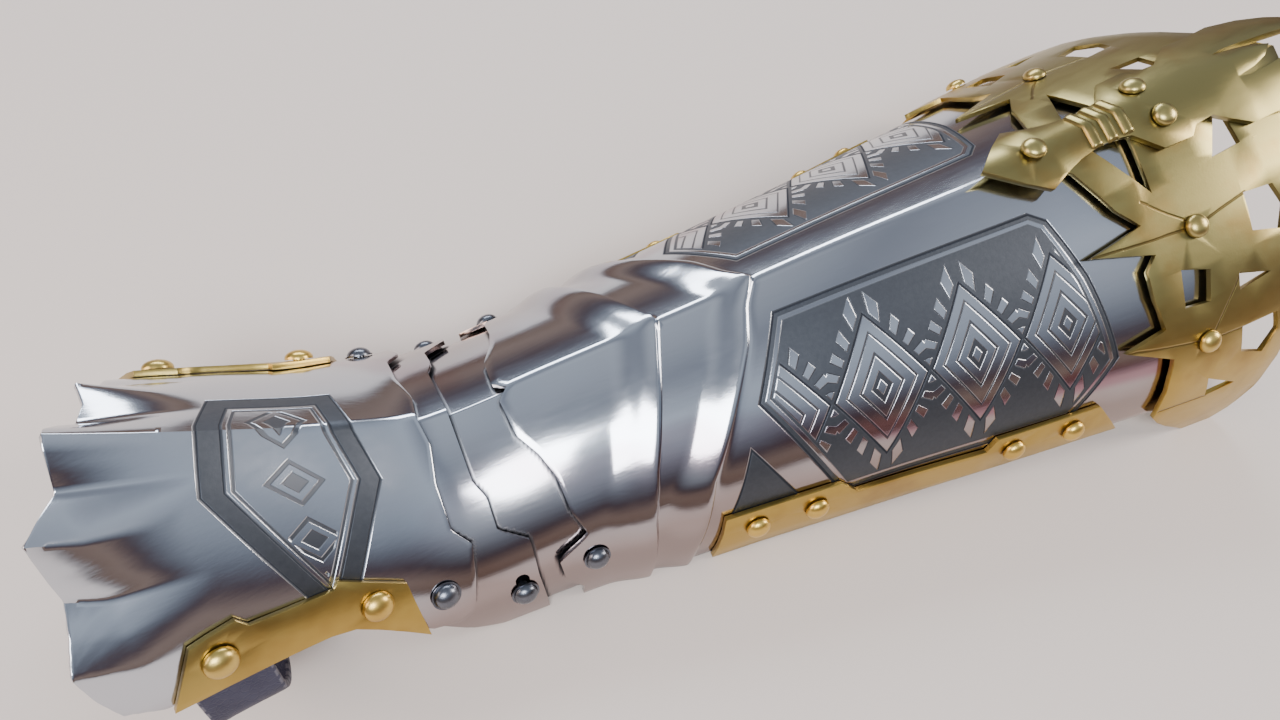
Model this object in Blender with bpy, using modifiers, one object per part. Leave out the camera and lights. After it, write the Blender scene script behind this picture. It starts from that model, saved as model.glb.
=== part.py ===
# A plate vambrace: a keeled steel forearm shell, two wrist lames and a fluted hand flare, with
# brass strips, a pierced brass band at the elbow and a bladed brass strap on the keel.
# X runs from the hand to the elbow, Y across the arm, Z up. The part stands on its long edges.

import bmesh
import bpy
import math
import numpy as np
from mathutils import Vector

mm = 0.001

# Reach of the form on both sides of the wrist, where the shell is lowest
HAND_REACH = 79.5 * mm
FOREARM_REACH = 250 * mm
CREST_REACH = 291 * mm

# Half widths at the floor and heights of the keel
WRIST_HALF_WIDTH = 43 * mm
HAND_HALF_WIDTH = 45 * mm
ELBOW_HALF_WIDTH = 75 * mm
WRIST_HEIGHT = 46 * mm
HAND_HEIGHT = 89 * mm
ELBOW_HEIGHT = 87.5 * mm

# How far a section is a roof (1) or an arch (0) at its keel, and how upright its sides are
KEEL_SHARPNESS = 0.72
SIDE_UPRIGHTNESS = 2.42

# Metal, leather and clearances
STEEL_THICKNESS = 1.2 * mm
BRASS_THICKNESS = 1.5 * mm
ORNAMENT_THICKNESS = 2.0 * mm
LEATHER_THICKNESS = 2.0 * mm
SEAT_GAP = 0.3 * mm
LAME_CLEARANCE = 1.2 * mm
TRIM_STANDOFF = 1.4 * mm

# Rivets
RIVET_HEAD_RADIUS = 3.65 * mm
RIVET_DOME_HEIGHT = 2.6 * mm
RIVET_SHANK_RADIUS = 1.5 * mm
RIVET_TAIL_RADIUS = 2.4 * mm
RIVET_TAIL_HEIGHT = 0.9 * mm
RIVET_TAIL_GAP = 0.6 * mm
RIVET_KEEL_DROP = 0.8 * mm
RIVET_HOLE_CLEARANCE = 0.4 * mm
RIVET_SIDES = 8

# Forearm plate: its edges along the arm and its two chevron steps
FOREARM_EDGE = 17 * mm
FOREARM_EDGE_DEPTH = 11 * mm
FOREARM_END = 234 * mm
STEP_ONE_KEEL = 63 * mm
STEP_ONE_SWEEP = 17 * mm
STEP_TWO_KEEL = 92 * mm
STEP_TWO_SWEEP = 34 * mm
STEP_HEIGHT = 2.4 * mm
STEP_SWELL = 15 * mm
STEP_DROP = 2.0 * mm

# Wrist lames
OUTER_LAME_START = -19 * mm
OUTER_LAME_EDGE = 4 * mm
OUTER_LAME_EDGE_DEPTH = 11 * mm
INNER_LAME_START = -2 * mm
INNER_LAME_END = 39 * mm
TUCK_DEPTH = 2.0 * mm
TUCK_LENGTH = 13 * mm
SLOT_TRAVEL = 4.5 * mm

# Hand flare
FLARE_EDGE = -5 * mm
FLARE_EDGE_DEPTH = 4 * mm
FLUTE_DEPTH = 3.0 * mm
FLUTE_LENGTH = 22 * mm
FLARE_SCALLOP = 9 * mm

# Pivot rivets: distance from the wrist and height of each pair
PIVOT_A = (-11 * mm, 25 * mm)
PIVOT_B = (8.5 * mm, 14.5 * mm)
PIVOT_C = (29 * mm, 18 * mm)

# Brass strips: width of the broad ends
FOREARM_STRIP_WIDTH = 19 * mm
FLARE_STRIP_WIDTH = 14 * mm
STRIP_CELL = 11 * mm

# Pierced band at the elbow and bladed strap on the keel
TRIM_START = 185 * mm
TRIM_LENGTH = 91 * mm
ORNAMENT_START = 166 * mm
ORNAMENT_LENGTH = CREST_REACH - ORNAMENT_START
TRIM_CELL = 11 * mm
ORNAMENT_CELL = 12 * mm

# Hand strap
STRAP_WIDTH = 16 * mm
STRAP_PLACE = -58 * mm
STRAP_TOP = 51 * mm
STRAP_LOW = 10 * mm
STRAP_BEND = 14 * mm

# The origin is below the middle of the whole length
MIDDLE = (CREST_REACH - HAND_REACH) / 2

# Sections of the form: reach (share of HAND_REACH), width gain, height gain
HAND_SECTIONS = [
    (1.10, 1.10, 1.13),
    (1.00, 1.00, 1.00),
    (0.58, 0.30, 0.52),
    (0.29, -0.40, 0.21),
]
# Sections of the form: reach (share of FOREARM_REACH), width gain, height gain
FOREARM_SECTIONS = [
    (0.00, 0.00, 0.00),
    (0.13, 0.05, 0.11),
    (0.26, 0.17, 0.23),
    (0.49, 0.40, 0.47),
    (0.75, 0.73, 0.69),
    (1.00, 1.00, 1.00),
    (1.25, 1.09, 1.25),
]
# Lower edge of the flare: reach (share of HAND_REACH), height (share of WRIST_HEIGHT)
FLARE_LOW_EDGE = [
    (-1.00, 0.99),
    (-0.88, 0.84),
    (-0.57, 0.76),
    (-0.43, 0.70),
    (-0.30, 0.53),
    (-0.20, 0.38),
    (-0.11, 0.34),
    (-0.04, 0.40),
]
# Lower edge of the forearm plate: reach (share of FOREARM_END), height (share of WRIST_HEIGHT)
FOREARM_LOW_EDGE = [
    (0.00, -0.02),
    (0.24, -0.02),
    (0.30, 0.03),
    (0.47, 0.06),
    (0.61, 0.14),
    (0.76, 0.25),
    (0.92, 0.34),
    (1.00, 0.38),
]
# Lower edge of the outer lame: reach (share of PIVOT_B's), height (share of WRIST_HEIGHT)
OUTER_LAME_LOW_EDGE = [
    (-2.3, 0.36),
    (-1.0, 0.17),
    (0.2, 0.03),
    (1.9, 0.02),
]
# Cross edges: girth (share from keel to floor), depth (share of that edge's depth)
FOREARM_EDGE_SHAPE = [
    (0.00, 0.27),
    (0.04, 0.00),
    (0.18, 0.09),
    (0.28, 0.45),
    (0.38, 0.64),
    (0.52, 0.73),
    (0.63, 1.00),
    (0.70, 0.18),
    (0.82, 0.27),
    (0.92, 0.73),
    (1.00, 0.73),
]
STEP_ONE_SHAPE = [
    (0.00, 0.00),
    (0.11, 0.18),
    (0.26, 0.41),
    (0.48, 0.76),
    (0.66, 0.94),
    (1.00, 1.00),
]
STEP_TWO_SHAPE = [
    (0.00, 0.00),
    (0.07, 0.13),
    (0.19, 0.24),
    (0.35, 0.47),
    (0.58, 0.79),
    (0.86, 0.97),
    (1.00, 1.00),
]
OUTER_LAME_EDGE_SHAPE = [
    (0.00, 0.00),
    (0.28, 0.00),
    (0.35, 0.18),
    (0.48, 0.18),
    (0.56, 0.82),
    (0.72, 0.82),
    (1.00, 1.00),
]
FLARE_EDGE_SHAPE = [
    (0.00, 0.25),
    (0.10, 0.50),
    (0.24, 0.00),
    (0.41, 0.00),
    (0.48, 1.00),
    (0.60, 0.60),
    (0.68, 0.25),
    (1.00, -1.20),
]
# Hand end of the flare, cut back more on the far side: row share, near scallop, far scallop
# (shares of FLARE_SCALLOP), near flute, far flute (shares of FLUTE_DEPTH)
FLARE_TIP = [
    (0.000, 1.00, 1.00, 0.30, 0.30),
    (0.080, 1.00, 1.20, -0.30, -0.30),
    (0.160, 1.00, 1.45, -1.00, -1.00),
    (0.235, 0.60, 1.50, -0.10, -0.10),
    (0.315, 0.22, 1.30, 0.90, 0.90),
    (0.420, 0.33, 1.45, -0.10, 0.20),
    (0.530, 0.44, 1.60, -1.00, -0.30),
    (0.650, 0.25, 1.50, 0.10, -0.10),
    (0.775, 0.00, 1.30, 1.00, 0.05),
    (0.890, 0.11, 1.00, 0.60, 0.05),
    (1.000, 0.33, 0.85, 0.30, 0.05),
]
# Forearm strip, top edge: reach (share of FOREARM_END), height (share of its width)
FOREARM_STRIP_TOP = [
    (0.282, 1.00),
    (0.436, 1.00),
    (0.462, 0.72),
    (0.650, 0.58),
    (0.662, 0.80),
    (0.816, 0.76),
    (0.868, 0.04),
]
FOREARM_STRIP_FOOT = 0.274
FOREARM_STRIP_RIVETS = [(0.325, 0.62), (0.406, 0.62), (0.692, 0.44), (0.782, 0.42)]
# Flare strip, top edge: reach (share of HAND_REACH), height (share of its width)
FLARE_STRIP_TOP = [
    (-0.780, 0.93),
    (-0.666, 1.00),
    (-0.642, 0.82),
    (-0.428, 0.74),
    (-0.415, 0.90),
    (-0.240, 1.05),
    (-0.214, 0.10),
]
FLARE_STRIP_FOOT = -0.868
FLARE_STRIP_RIVETS = [(-0.730, 0.52), (-0.335, 0.52)]
# Pierced band: reach (share of TRIM_LENGTH), girth (share from keel to floor)
TRIM_OUTLINE = [
    (0.075, 0.000), (0.060, 0.058), (0.100, 0.083), (0.187, 0.217), (0.253, 0.275),
    (0.044, 0.310), (0.275, 0.358), (0.231, 0.395), (0.240, 0.470), (0.275, 0.558),
    (0.121, 0.592), (0.319, 0.650), (0.341, 0.858), (0.385, 0.890), (0.462, 0.930),
    (0.590, 0.985), (0.640, 1.010), (0.760, 1.010), (0.810, 0.960), (0.835, 0.870),
    (0.835, 0.720), (0.868, 0.600), (0.890, 0.450), (0.934, 0.300), (0.978, 0.150),
    (1.000, 0.000),
]
TRIM_OPENINGS = [
    [(0.187, 0.035), (0.341, 0.040), (0.330, 0.208)],
    [(0.352, 0.417), (0.462, 0.440), (0.451, 0.520), (0.352, 0.517)],
    [(0.505, 0.750), (0.660, 0.800), (0.538, 0.817)],
    [(0.648, 0.090), (0.692, 0.100), (0.703, 0.175), (0.582, 0.183)],
    [(0.648, 0.290), (0.769, 0.295), (0.800, 0.350), (0.769, 0.405), (0.648, 0.385)],
    [(0.571, 0.475), (0.703, 0.497), (0.571, 0.517)],
    [(0.593, 0.617), (0.747, 0.608), (0.769, 0.660), (0.725, 0.717), (0.615, 0.692)],
]
TRIM_RIVETS = [(0.440, 0.325), (0.451, 0.625)]
# Bladed strap: reach (share of ORNAMENT_LENGTH), girth (share from keel to floor)
ORNAMENT_OUTLINE = [
    (0.000, 0.000), (0.148, 0.105), (0.200, 0.077), (0.248, 0.058), (0.296, 0.048),
    (0.344, 0.046), (0.392, 0.055), (0.456, 0.118), (0.536, 0.118), (0.556, 0.095),
    (0.608, 0.090), (0.648, 0.115), (0.704, 0.145), (0.776, 0.142), (0.856, 0.150),
    (0.928, 0.125), (0.976, 0.090), (1.000, 0.055), (0.992, 0.020), (0.944, 0.018),
    (0.880, 0.026), (0.808, 0.034), (0.752, 0.036), (0.720, 0.030), (0.776, 0.022),
    (0.848, 0.000),
]
ORNAMENT_RIVETS = [(0.144, 0.000), (0.488, 0.042)]

# Lifts of the outer surfaces above the form
FOREARM_LIFT = 0.0
OUTER_LAME_LIFT = 0.0
INNER_LAME_LIFT = -(STEEL_THICKNESS + LAME_CLEARANCE)
FLARE_LIFT = STEEL_THICKNESS + LAME_CLEARANCE
STRIP_LIFT = SEAT_GAP + BRASS_THICKNESS
TRIM_LIFT = TRIM_STANDOFF + BRASS_THICKNESS
ORNAMENT_LIFT = TRIM_LIFT + SEAT_GAP + ORNAMENT_THICKNESS

# A height that lies inside every section
INNER_HEIGHT = 0.5 * WRIST_HEIGHT
PROFILE_STEPS = 72
TINY = 1e-6


def column_of(rows, index):
    return [row[index] for row in rows]


def smooth_through(xs, ys, x):
    # A curve through the points that never overshoots between two of them
    xs = np.asarray(xs, dtype=float)
    ys = np.asarray(ys, dtype=float)
    widths = np.diff(xs)
    slopes = np.diff(ys) / widths
    tangents = np.zeros(len(xs))
    tangents[0] = slopes[0]
    tangents[-1] = slopes[-1]
    for i in range(1, len(xs) - 1):
        before, after = slopes[i - 1], slopes[i]
        if before * after > 0:
            w1 = 2 * widths[i] + widths[i - 1]
            w2 = widths[i] + 2 * widths[i - 1]
            tangents[i] = (w1 + w2) / (w1 / before + w2 / after)
    if x <= xs[0]:
        return ys[0] + tangents[0] * (x - xs[0])
    if x >= xs[-1]:
        return ys[-1] + tangents[-1] * (x - xs[-1])
    i = int(np.searchsorted(xs, x)) - 1
    t = (x - xs[i]) / widths[i]
    a = (1 + 2 * t) * (1 - t) ** 2
    b = t * (1 - t) ** 2
    c = t * t * (3 - 2 * t)
    d = t * t * (t - 1)
    return a * ys[i] + b * widths[i] * tangents[i] + c * ys[i + 1] + d * widths[i] * tangents[i + 1]


def straight_through(rows, x, column=1):
    return float(np.interp(x, column_of(rows, 0), column_of(rows, column)))


def form_stations():
    stations = []
    for reach, width, height in HAND_SECTIONS:
        stations.append((
            -reach * HAND_REACH,
            WRIST_HALF_WIDTH + width * (HAND_HALF_WIDTH - WRIST_HALF_WIDTH),
            WRIST_HEIGHT + height * (HAND_HEIGHT - WRIST_HEIGHT),
        ))
    for reach, width, height in FOREARM_SECTIONS:
        stations.append((
            reach * FOREARM_REACH,
            WRIST_HALF_WIDTH + width * (ELBOW_HALF_WIDTH - WRIST_HALF_WIDTH),
            WRIST_HEIGHT + height * (ELBOW_HEIGHT - WRIST_HEIGHT),
        ))
    return sorted(stations)


STATIONS = form_stations()
profile_cache = {}


def profile(reach):
    # One half section of the form at a distance from the wrist: y, z and girth share
    key = round(reach / TINY)
    if key not in profile_cache:
        places = column_of(STATIONS, 0)
        half_width = smooth_through(places, column_of(STATIONS, 1), reach)
        height = smooth_through(places, column_of(STATIONS, 2), reach)
        turn = np.linspace(0, math.pi / 2, PROFILE_STEPS + 1)
        fall = np.sin(turn) ** 2
        k = KEEL_SHARPNESS
        y = half_width * (-k + np.sqrt(k * k + 4 * (1 - k) * fall)) / (2 * (1 - k))
        z = height * np.clip(np.cos(turn), 0, 1) ** (2 / SIDE_UPRIGHTNESS)
        z[-1] = 0
        girth = np.concatenate([[0], np.cumsum(np.hypot(np.diff(y), np.diff(z)))])
        profile_cache[key] = (y, z, girth / girth[-1], girth[-1])
    return profile_cache[key]


def base_point(reach, share):
    # Past the floor (share over 1) the side goes straight on down
    y, z, shares, girth = profile(reach)
    over = max(share - 1, 0) * girth
    return Vector((reach, float(np.interp(share, shares, y)), float(np.interp(share, shares, z)) - over))


def form_normal(reach, share):
    step_along = 0.5 * mm
    step_round = 0.012
    low = min(max(share - step_round, 0), 1 - 2 * step_round)
    along = base_point(reach + step_along, share) - base_point(reach - step_along, share)
    around = base_point(reach, low + 2 * step_round) - base_point(reach, low)
    normal = around.cross(along)
    if normal.z < 0:
        normal.negate()
    return normal.normalized()


def on_form(reach, share, lift):
    # A point of the near or far half, lifted off the form and set in the part's own frame
    point = base_point(reach, share)
    normal = form_normal(reach, share)
    if share < TINY:
        direction = Vector((normal.x, 0, normal.z)).normalized()
        point = point + direction * (lift / normal.dot(direction))
    else:
        point = point + normal * lift
        point.y = max(point.y, 0)
    return point - Vector((MIDDLE, 0, 0))


def share_at_height(reach, height):
    y, z, shares, girth = profile(reach)
    if height <= 0:
        return 1 - height / girth
    return float(np.interp(-height, -z, shares))


def girth_of(reach):
    return profile(reach)[3]


def flare_low_height(reach):
    rows = [(share * HAND_REACH, height * WRIST_HEIGHT) for share, height in FLARE_LOW_EDGE]
    return straight_through(rows, reach)


def forearm_low_height(reach):
    rows = [(share * FOREARM_END, height * WRIST_HEIGHT) for share, height in FOREARM_LOW_EDGE]
    return straight_through(rows, reach)


def outer_lame_low_height(reach):
    rows = [(share * PIVOT_B[0], height * WRIST_HEIGHT) for share, height in OUTER_LAME_LOW_EDGE]
    return straight_through(rows, reach)


def inner_lame_low_height(reach):
    return 0.02 * WRIST_HEIGHT


def low_share(low_height, reach):
    return share_at_height(reach, low_height(reach))


def forearm_edge(share):
    return FOREARM_EDGE + FOREARM_EDGE_DEPTH * straight_through(FOREARM_EDGE_SHAPE, share)


def step_one(share):
    return STEP_ONE_KEEL - STEP_ONE_SWEEP * straight_through(STEP_ONE_SHAPE, share)


def step_two(share):
    return STEP_TWO_KEEL - STEP_TWO_SWEEP * straight_through(STEP_TWO_SHAPE, share)


def outer_lame_edge(share):
    return OUTER_LAME_EDGE + OUTER_LAME_EDGE_DEPTH * straight_through(OUTER_LAME_EDGE_SHAPE, share)


def flare_edge(share):
    return FLARE_EDGE + FLARE_EDGE_DEPTH * straight_through(FLARE_EDGE_SHAPE, share)


def between(first, second, share):
    return lambda girth_share: first(girth_share) * (1 - share) + second(girth_share) * share


def shifted(line, distance):
    return lambda girth_share: line(girth_share) + distance


def constant(value):
    return lambda girth_share: value


def constant_lift(value):
    return lambda reach, share: value


def new_object(name, mesh, collection, material):
    item = bpy.data.objects.new(name, mesh)
    collection.objects.link(item)
    if material:
        mesh.materials.append(material)
    return item


def make_material(name, color, roughness, metallic):
    material = bpy.data.materials.new(name)
    material.use_nodes = True
    shader = material.node_tree.nodes["Principled BSDF"]
    shader.inputs["Base Color"].default_value = (*color, 1)
    shader.inputs["Roughness"].default_value = roughness
    shader.inputs["Metallic"].default_value = metallic
    return material


def make_collection(name, parent):
    collection = bpy.data.collections.new(name)
    parent.children.link(collection)
    return collection


def add_mirror(item):
    mirror = item.modifiers.new("far_half", "MIRROR")
    mirror.use_axis = (False, True, False)
    mirror.merge_threshold = 0.00005
    return mirror


def add_wall(item, thickness):
    wall = item.modifiers.new("wall", "SOLIDIFY")
    wall.thickness = thickness
    wall.offset = -1
    wall.use_even_offset = True
    return wall


def add_cut(item, cutters):
    cut = item.modifiers.new("holes", "BOOLEAN")
    cut.operation = "DIFFERENCE"
    cut.solver = "EXACT"
    cut.operand_type = "COLLECTION"
    cut.collection = cutters
    return cut


def finish_mesh(bm, mesh):
    bmesh.ops.recalc_face_normals(bm, faces=bm.faces)
    outward = 0
    for face in bm.faces:
        center = face.calc_center_median()
        center.x = 0
        center.z -= INNER_HEIGHT
        outward += face.normal.dot(center) * face.calc_area()
    if outward < 0:
        bmesh.ops.reverse_faces(bm, faces=bm.faces)
    bm.to_mesh(mesh)
    bm.free()
    mesh.shade_smooth()
    mesh.set_sharp_from_angle(angle=math.radians(35))


def plate_mesh(name, columns, rows, low_height, lift_at):
    # Half a plate between the keel and its lower edge. A column is a line across the plate,
    # a row is a share of the girth down to the lower edge.
    bm = bmesh.new()
    grid = []
    for column_index, column in enumerate(columns):
        line = []
        for row_index, row in enumerate(rows):
            share = row
            for _ in range(6):
                share = row * low_share(low_height, column(share))
            reach = column(share)
            lift = lift_at(column_index, row_index, reach, share)
            line.append(bm.verts.new(on_form(reach, share, lift)))
        grid.append(line)
    for first, second in zip(grid, grid[1:]):
        for j in range(len(rows) - 1):
            bm.faces.new((first[j], second[j], second[j + 1], first[j + 1]))
    mesh = bpy.data.meshes.new(name)
    finish_mesh(bm, mesh)
    return mesh


def sheet_mesh(name, outline, openings, lift_at, cell):
    # A flat outline in reach and girth, filled, cut into cells and laid on the form
    curve = bpy.data.curves.new(name, "CURVE")
    curve.dimensions = "2D"
    curve.fill_mode = "BOTH"
    for loop in [outline] + openings:
        spline = curve.splines.new("POLY")
        spline.points.add(len(loop) - 1)
        for point, (reach, across) in zip(spline.points, loop):
            point.co = (reach, across, 0, 1)
        spline.use_cyclic_u = True
    holder = bpy.data.objects.new(name, curve)
    bpy.context.scene.collection.objects.link(holder)
    bpy.context.view_layer.update()
    evaluated = holder.evaluated_get(bpy.context.evaluated_depsgraph_get())
    flat = bpy.data.meshes.new_from_object(evaluated)
    bpy.data.objects.remove(holder)
    bm = bmesh.new()
    bm.from_mesh(flat)
    bmesh.ops.remove_doubles(bm, verts=bm.verts, dist=0.02 * mm)
    doubled = {}
    for face in list(bm.faces):
        key = tuple(sorted(vert.index for vert in face.verts))
        if key in doubled:
            bm.faces.remove(face)
        doubled[key] = True
    bmesh.ops.dissolve_limit(bm, angle_limit=0.01, verts=bm.verts, edges=bm.edges)
    for axis in (0, 1):
        values = [vert.co[axis] for vert in bm.verts]
        count = math.ceil((max(values) - min(values)) / cell)
        for i in range(1, count):
            point = Vector((0, 0, 0))
            point[axis] = min(values) + (max(values) - min(values)) * i / count
            direction = Vector((0, 0, 0))
            direction[axis] = 1
            everything = list(bm.verts) + list(bm.edges) + list(bm.faces)
            bmesh.ops.bisect_plane(bm, geom=everything, dist=0.2 * mm, plane_co=point, plane_no=direction)
    for vert in bm.verts:
        reach, share = vert.co.x, vert.co.y / GIRTH_SCALE
        vert.co = on_form(reach, share, lift_at(reach, share))
    bmesh.ops.triangulate(bm, faces=[face for face in bm.faces if len(face.verts) > 4])
    mesh = bpy.data.meshes.new(name)
    finish_mesh(bm, mesh)
    return mesh


# Flat outlines are drawn with this many metres for a whole half girth
GIRTH_SCALE = 0.12


def flat_loop(rows, start, length):
    return [(start + reach * length, share * GIRTH_SCALE) for reach, share in rows]


def strip_loop(top_rows, foot_share, scale, low_height, width):
    # Along the lower edge from the foot, then back along the stepped top
    top = [(share * scale, height * width) for share, height in top_rows]
    foot = foot_share * scale
    last = top[-1][0]
    points = []
    steps = 10
    for i in range(steps + 1):
        reach = foot + (last - foot) * i / steps
        points.append((reach, low_share(low_height, reach) * GIRTH_SCALE))
    for reach, height in reversed(top[:-1]):
        share = low_share(low_height, reach) - height / girth_of(reach)
        points.append((reach, share * GIRTH_SCALE))
    return points


def rivet_mesh(name, stack):
    # Half a section, turned round Z: dome, neck through the stack of plates, tail
    dome_steps = 3
    under_head = SEAT_GAP
    over_tail = -stack - RIVET_TAIL_GAP
    points = []
    for i in range(dome_steps + 1):
        angle = math.pi / 2 * (1 - i / dome_steps)
        points.append((RIVET_HEAD_RADIUS * math.cos(angle), under_head + RIVET_DOME_HEIGHT * math.sin(angle)))
    points[0] = (0, under_head + RIVET_DOME_HEIGHT)
    points.append((RIVET_SHANK_RADIUS, under_head))
    points.append((RIVET_SHANK_RADIUS, over_tail))
    points.append((RIVET_TAIL_RADIUS, over_tail))
    points.append((RIVET_TAIL_RADIUS, over_tail - RIVET_TAIL_HEIGHT))
    points.append((0, over_tail - RIVET_TAIL_HEIGHT))
    mesh = bpy.data.meshes.new(name)
    edges = [(i, i + 1) for i in range(len(points) - 1)]
    mesh.from_pydata([(x, 0, z) for x, z in points], edges, [])
    return mesh


def add_rivet(name, reach, share, top_lift, stack, side, collection, material):
    # side is -1 for the near half, 1 for the far half and 0 for the keel
    item = new_object(name, rivet_mesh(name, stack), collection, material)
    item.location, item.rotation_euler = rivet_place(reach, share, top_lift, side)
    turn = item.modifiers.new("turn", "SCREW")
    turn.steps = RIVET_SIDES
    turn.render_steps = RIVET_SIDES
    turn.use_merge_vertices = True
    turn.merge_threshold = 0.00002
    turn.use_smooth_shade = True
    return item


def rivet_place(reach, share, top_lift, side):
    normal = form_normal(reach, share)
    if side == 0:
        normal = Vector((normal.x, 0, normal.z)).normalized()
    place = on_form(reach, share, top_lift)
    if side < 0:
        place.y = -place.y
        normal.y = -normal.y
    return place, normal.to_track_quat("Z", "Y").to_euler()


def add_hole(name, reach, share, top_lift, side, cutters, travel=0.0):
    # A round drill, or a slot when the drill's upper half is moved up the plate
    radius = RIVET_SHANK_RADIUS + RIVET_HOLE_CLEARANCE
    depth = 20 * mm
    bm = bmesh.new()
    bmesh.ops.create_cone(bm, cap_ends=True, segments=12, radius1=radius, radius2=radius, depth=depth)
    mesh = bpy.data.meshes.new(name)
    bm.to_mesh(mesh)
    bm.free()
    item = new_object(name, mesh, cutters, None)
    item.location, item.rotation_euler = rivet_place(reach, share, top_lift, side)
    if travel:
        rotation = item.rotation_euler.to_matrix()
        upward = rotation.inverted() @ Vector((0, 0, 1))
        upward.z = 0
        upward.normalize()
        for vert in mesh.vertices:
            if vert.co.x * upward.x + vert.co.y * upward.y > 0:
                vert.co += upward * travel
    item.hide_render = True
    item.display_type = "WIRE"
    return item


def add_floor_cutter(cutters):
    depth = 20 * mm
    length = 3 * CREST_REACH
    bpy.ops.mesh.primitive_cube_add(size=1, location=(0, 0, -depth / 2))
    item = bpy.context.active_object
    item.name = "floor_" + cutters.name
    item.scale = (length, length, depth)
    bpy.ops.object.transform_apply(scale=True)
    for owner in list(item.users_collection):
        owner.objects.unlink(item)
    cutters.objects.link(item)
    item.hide_render = True
    item.display_type = "WIRE"


def add_pivot(name, pivot, collection):
    pivot_empty = bpy.data.objects.new(name, None)
    pivot_empty.location = (pivot[0] - MIDDLE, 0, pivot[1])
    pivot_empty.empty_display_size = 0.02
    collection.objects.link(pivot_empty)
    return pivot_empty


def hang_on(child, pivot_empty):
    bpy.context.view_layer.update()
    child.parent = pivot_empty
    child.matrix_parent_inverse = pivot_empty.matrix_world.inverted()


def pivot_share(pivot):
    return share_at_height(pivot[0], pivot[1])


def forearm_plate(collection, cutters, steel):
    swell_one = shifted(step_one, -STEP_SWELL)
    crest_one = shifted(step_one, -STEP_DROP)
    swell_two = shifted(step_two, -STEP_SWELL * 0.8)
    crest_two = shifted(step_two, -STEP_DROP)
    end = constant(FOREARM_END)
    columns = [
        forearm_edge,
        between(forearm_edge, swell_one, 0.5),
        swell_one,
        shifted(step_one, -STEP_SWELL * 0.5),
        crest_one,
        step_one,
        swell_two,
        shifted(step_two, -STEP_SWELL * 0.4),
        crest_two,
        step_two,
    ]
    lifts = [0, 0, 0, 0.6, 1, 0, 0, 0.6, 1, 0]
    panels = 6
    for i in range(1, panels + 1):
        columns.append(between(step_two, end, i / panels))
        lifts.append(0)
    rows = [0, 0.05, 0.12, 0.2, 0.28, 0.38, 0.50, 0.63, 0.70, 0.82, 0.92, 1]

    def lift_at(column_index, row_index, reach, share):
        return FOREARM_LIFT + STEP_HEIGHT * lifts[column_index]

    mesh = plate_mesh("forearm_plate", columns, rows, forearm_low_height, lift_at)
    item = new_object("forearm_plate", mesh, collection, steel)
    add_mirror(item)
    add_wall(item, STEEL_THICKNESS)
    add_cut(item, cutters)
    return item


def inner_lame(collection, cutters, steel):
    start = constant(INNER_LAME_START)
    end = constant(INNER_LAME_END)
    columns = [between(start, end, share) for share in (0, 0.15, 0.32, 0.5, 0.75, 1)]
    rows = [0, 0.1, 0.22, 0.35, 0.48, 0.6, 0.72, 0.84, 1]

    def lift_at(column_index, row_index, reach, share):
        low_tuck = max(INNER_LAME_START + TUCK_LENGTH / 2 - reach, 0) / (TUCK_LENGTH / 2)
        high_tuck = max(reach - INNER_LAME_END + TUCK_LENGTH, 0) / TUCK_LENGTH
        return INNER_LAME_LIFT - TUCK_DEPTH * 0.6 * max(low_tuck, high_tuck)

    mesh = plate_mesh("inner_lame", columns, rows, inner_lame_low_height, lift_at)
    item = new_object("inner_lame", mesh, collection, steel)
    add_mirror(item)
    add_wall(item, STEEL_THICKNESS)
    add_cut(item, cutters)
    return item


def outer_lame(collection, cutters, steel):
    start = constant(OUTER_LAME_START)
    columns = [between(start, outer_lame_edge, share) for share in (0, 0.28, 0.55, 0.8, 1)]
    rows = [0, 0.1, 0.19, 0.28, 0.35, 0.42, 0.48, 0.56, 0.64, 0.72, 0.86, 1]

    def lift_at(column_index, row_index, reach, share):
        tuck = min(max(OUTER_LAME_START + TUCK_LENGTH - reach, 0) / TUCK_LENGTH, 1)
        return OUTER_LAME_LIFT - TUCK_DEPTH * tuck

    mesh = plate_mesh("outer_lame", columns, rows, outer_lame_low_height, lift_at)
    item = new_object("outer_lame", mesh, collection, steel)
    add_mirror(item)
    add_wall(item, STEEL_THICKNESS)
    add_cut(item, cutters)
    return item


def flare_tip(row, side):
    return -HAND_REACH + FLARE_SCALLOP * straight_through(FLARE_TIP, row, 1 if side < 0 else 2)


def flare_lift(reach, share, side):
    # The flutes are deepest at the hand end and die out along the flare
    row = share / low_share(flare_low_height, reach)
    fade = min(max(1 - (reach - flare_tip(row, side)) / FLUTE_LENGTH, 0), 1) ** 1.3
    return FLARE_LIFT + FLUTE_DEPTH * straight_through(FLARE_TIP, row, 3 if side < 0 else 4) * fade


def flare_plate(collection, cutters, steel):
    spreads = [0, 0.09, 0.18, 0.28, 0.42, 0.56, 0.7, 0.8, 0.88, 0.94, 1]
    sided_rows = [(row, -1) for row in reversed(column_of(FLARE_TIP, 0))]
    sided_rows += [(row, 1) for row in column_of(FLARE_TIP, 0)[1:]]
    bm = bmesh.new()
    grid = []
    for spread in spreads:
        line = []
        for row, side in sided_rows:
            share = row * 0.6
            for _ in range(8):
                tip = flare_tip(row, side)
                reach = tip + (flare_edge(share) - tip) * spread
                share = row * low_share(flare_low_height, reach)
            point = on_form(reach, share, flare_lift(reach, share, side))
            point.y *= side
            line.append(bm.verts.new(point))
        grid.append(line)
    for first, second in zip(grid, grid[1:]):
        for j in range(len(sided_rows) - 1):
            bm.faces.new((first[j], second[j], second[j + 1], first[j + 1]))
    mesh = bpy.data.meshes.new("flare_plate")
    finish_mesh(bm, mesh)
    item = new_object("flare_plate", mesh, collection, steel)
    add_wall(item, STEEL_THICKNESS)
    add_cut(item, cutters)
    return item


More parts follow.
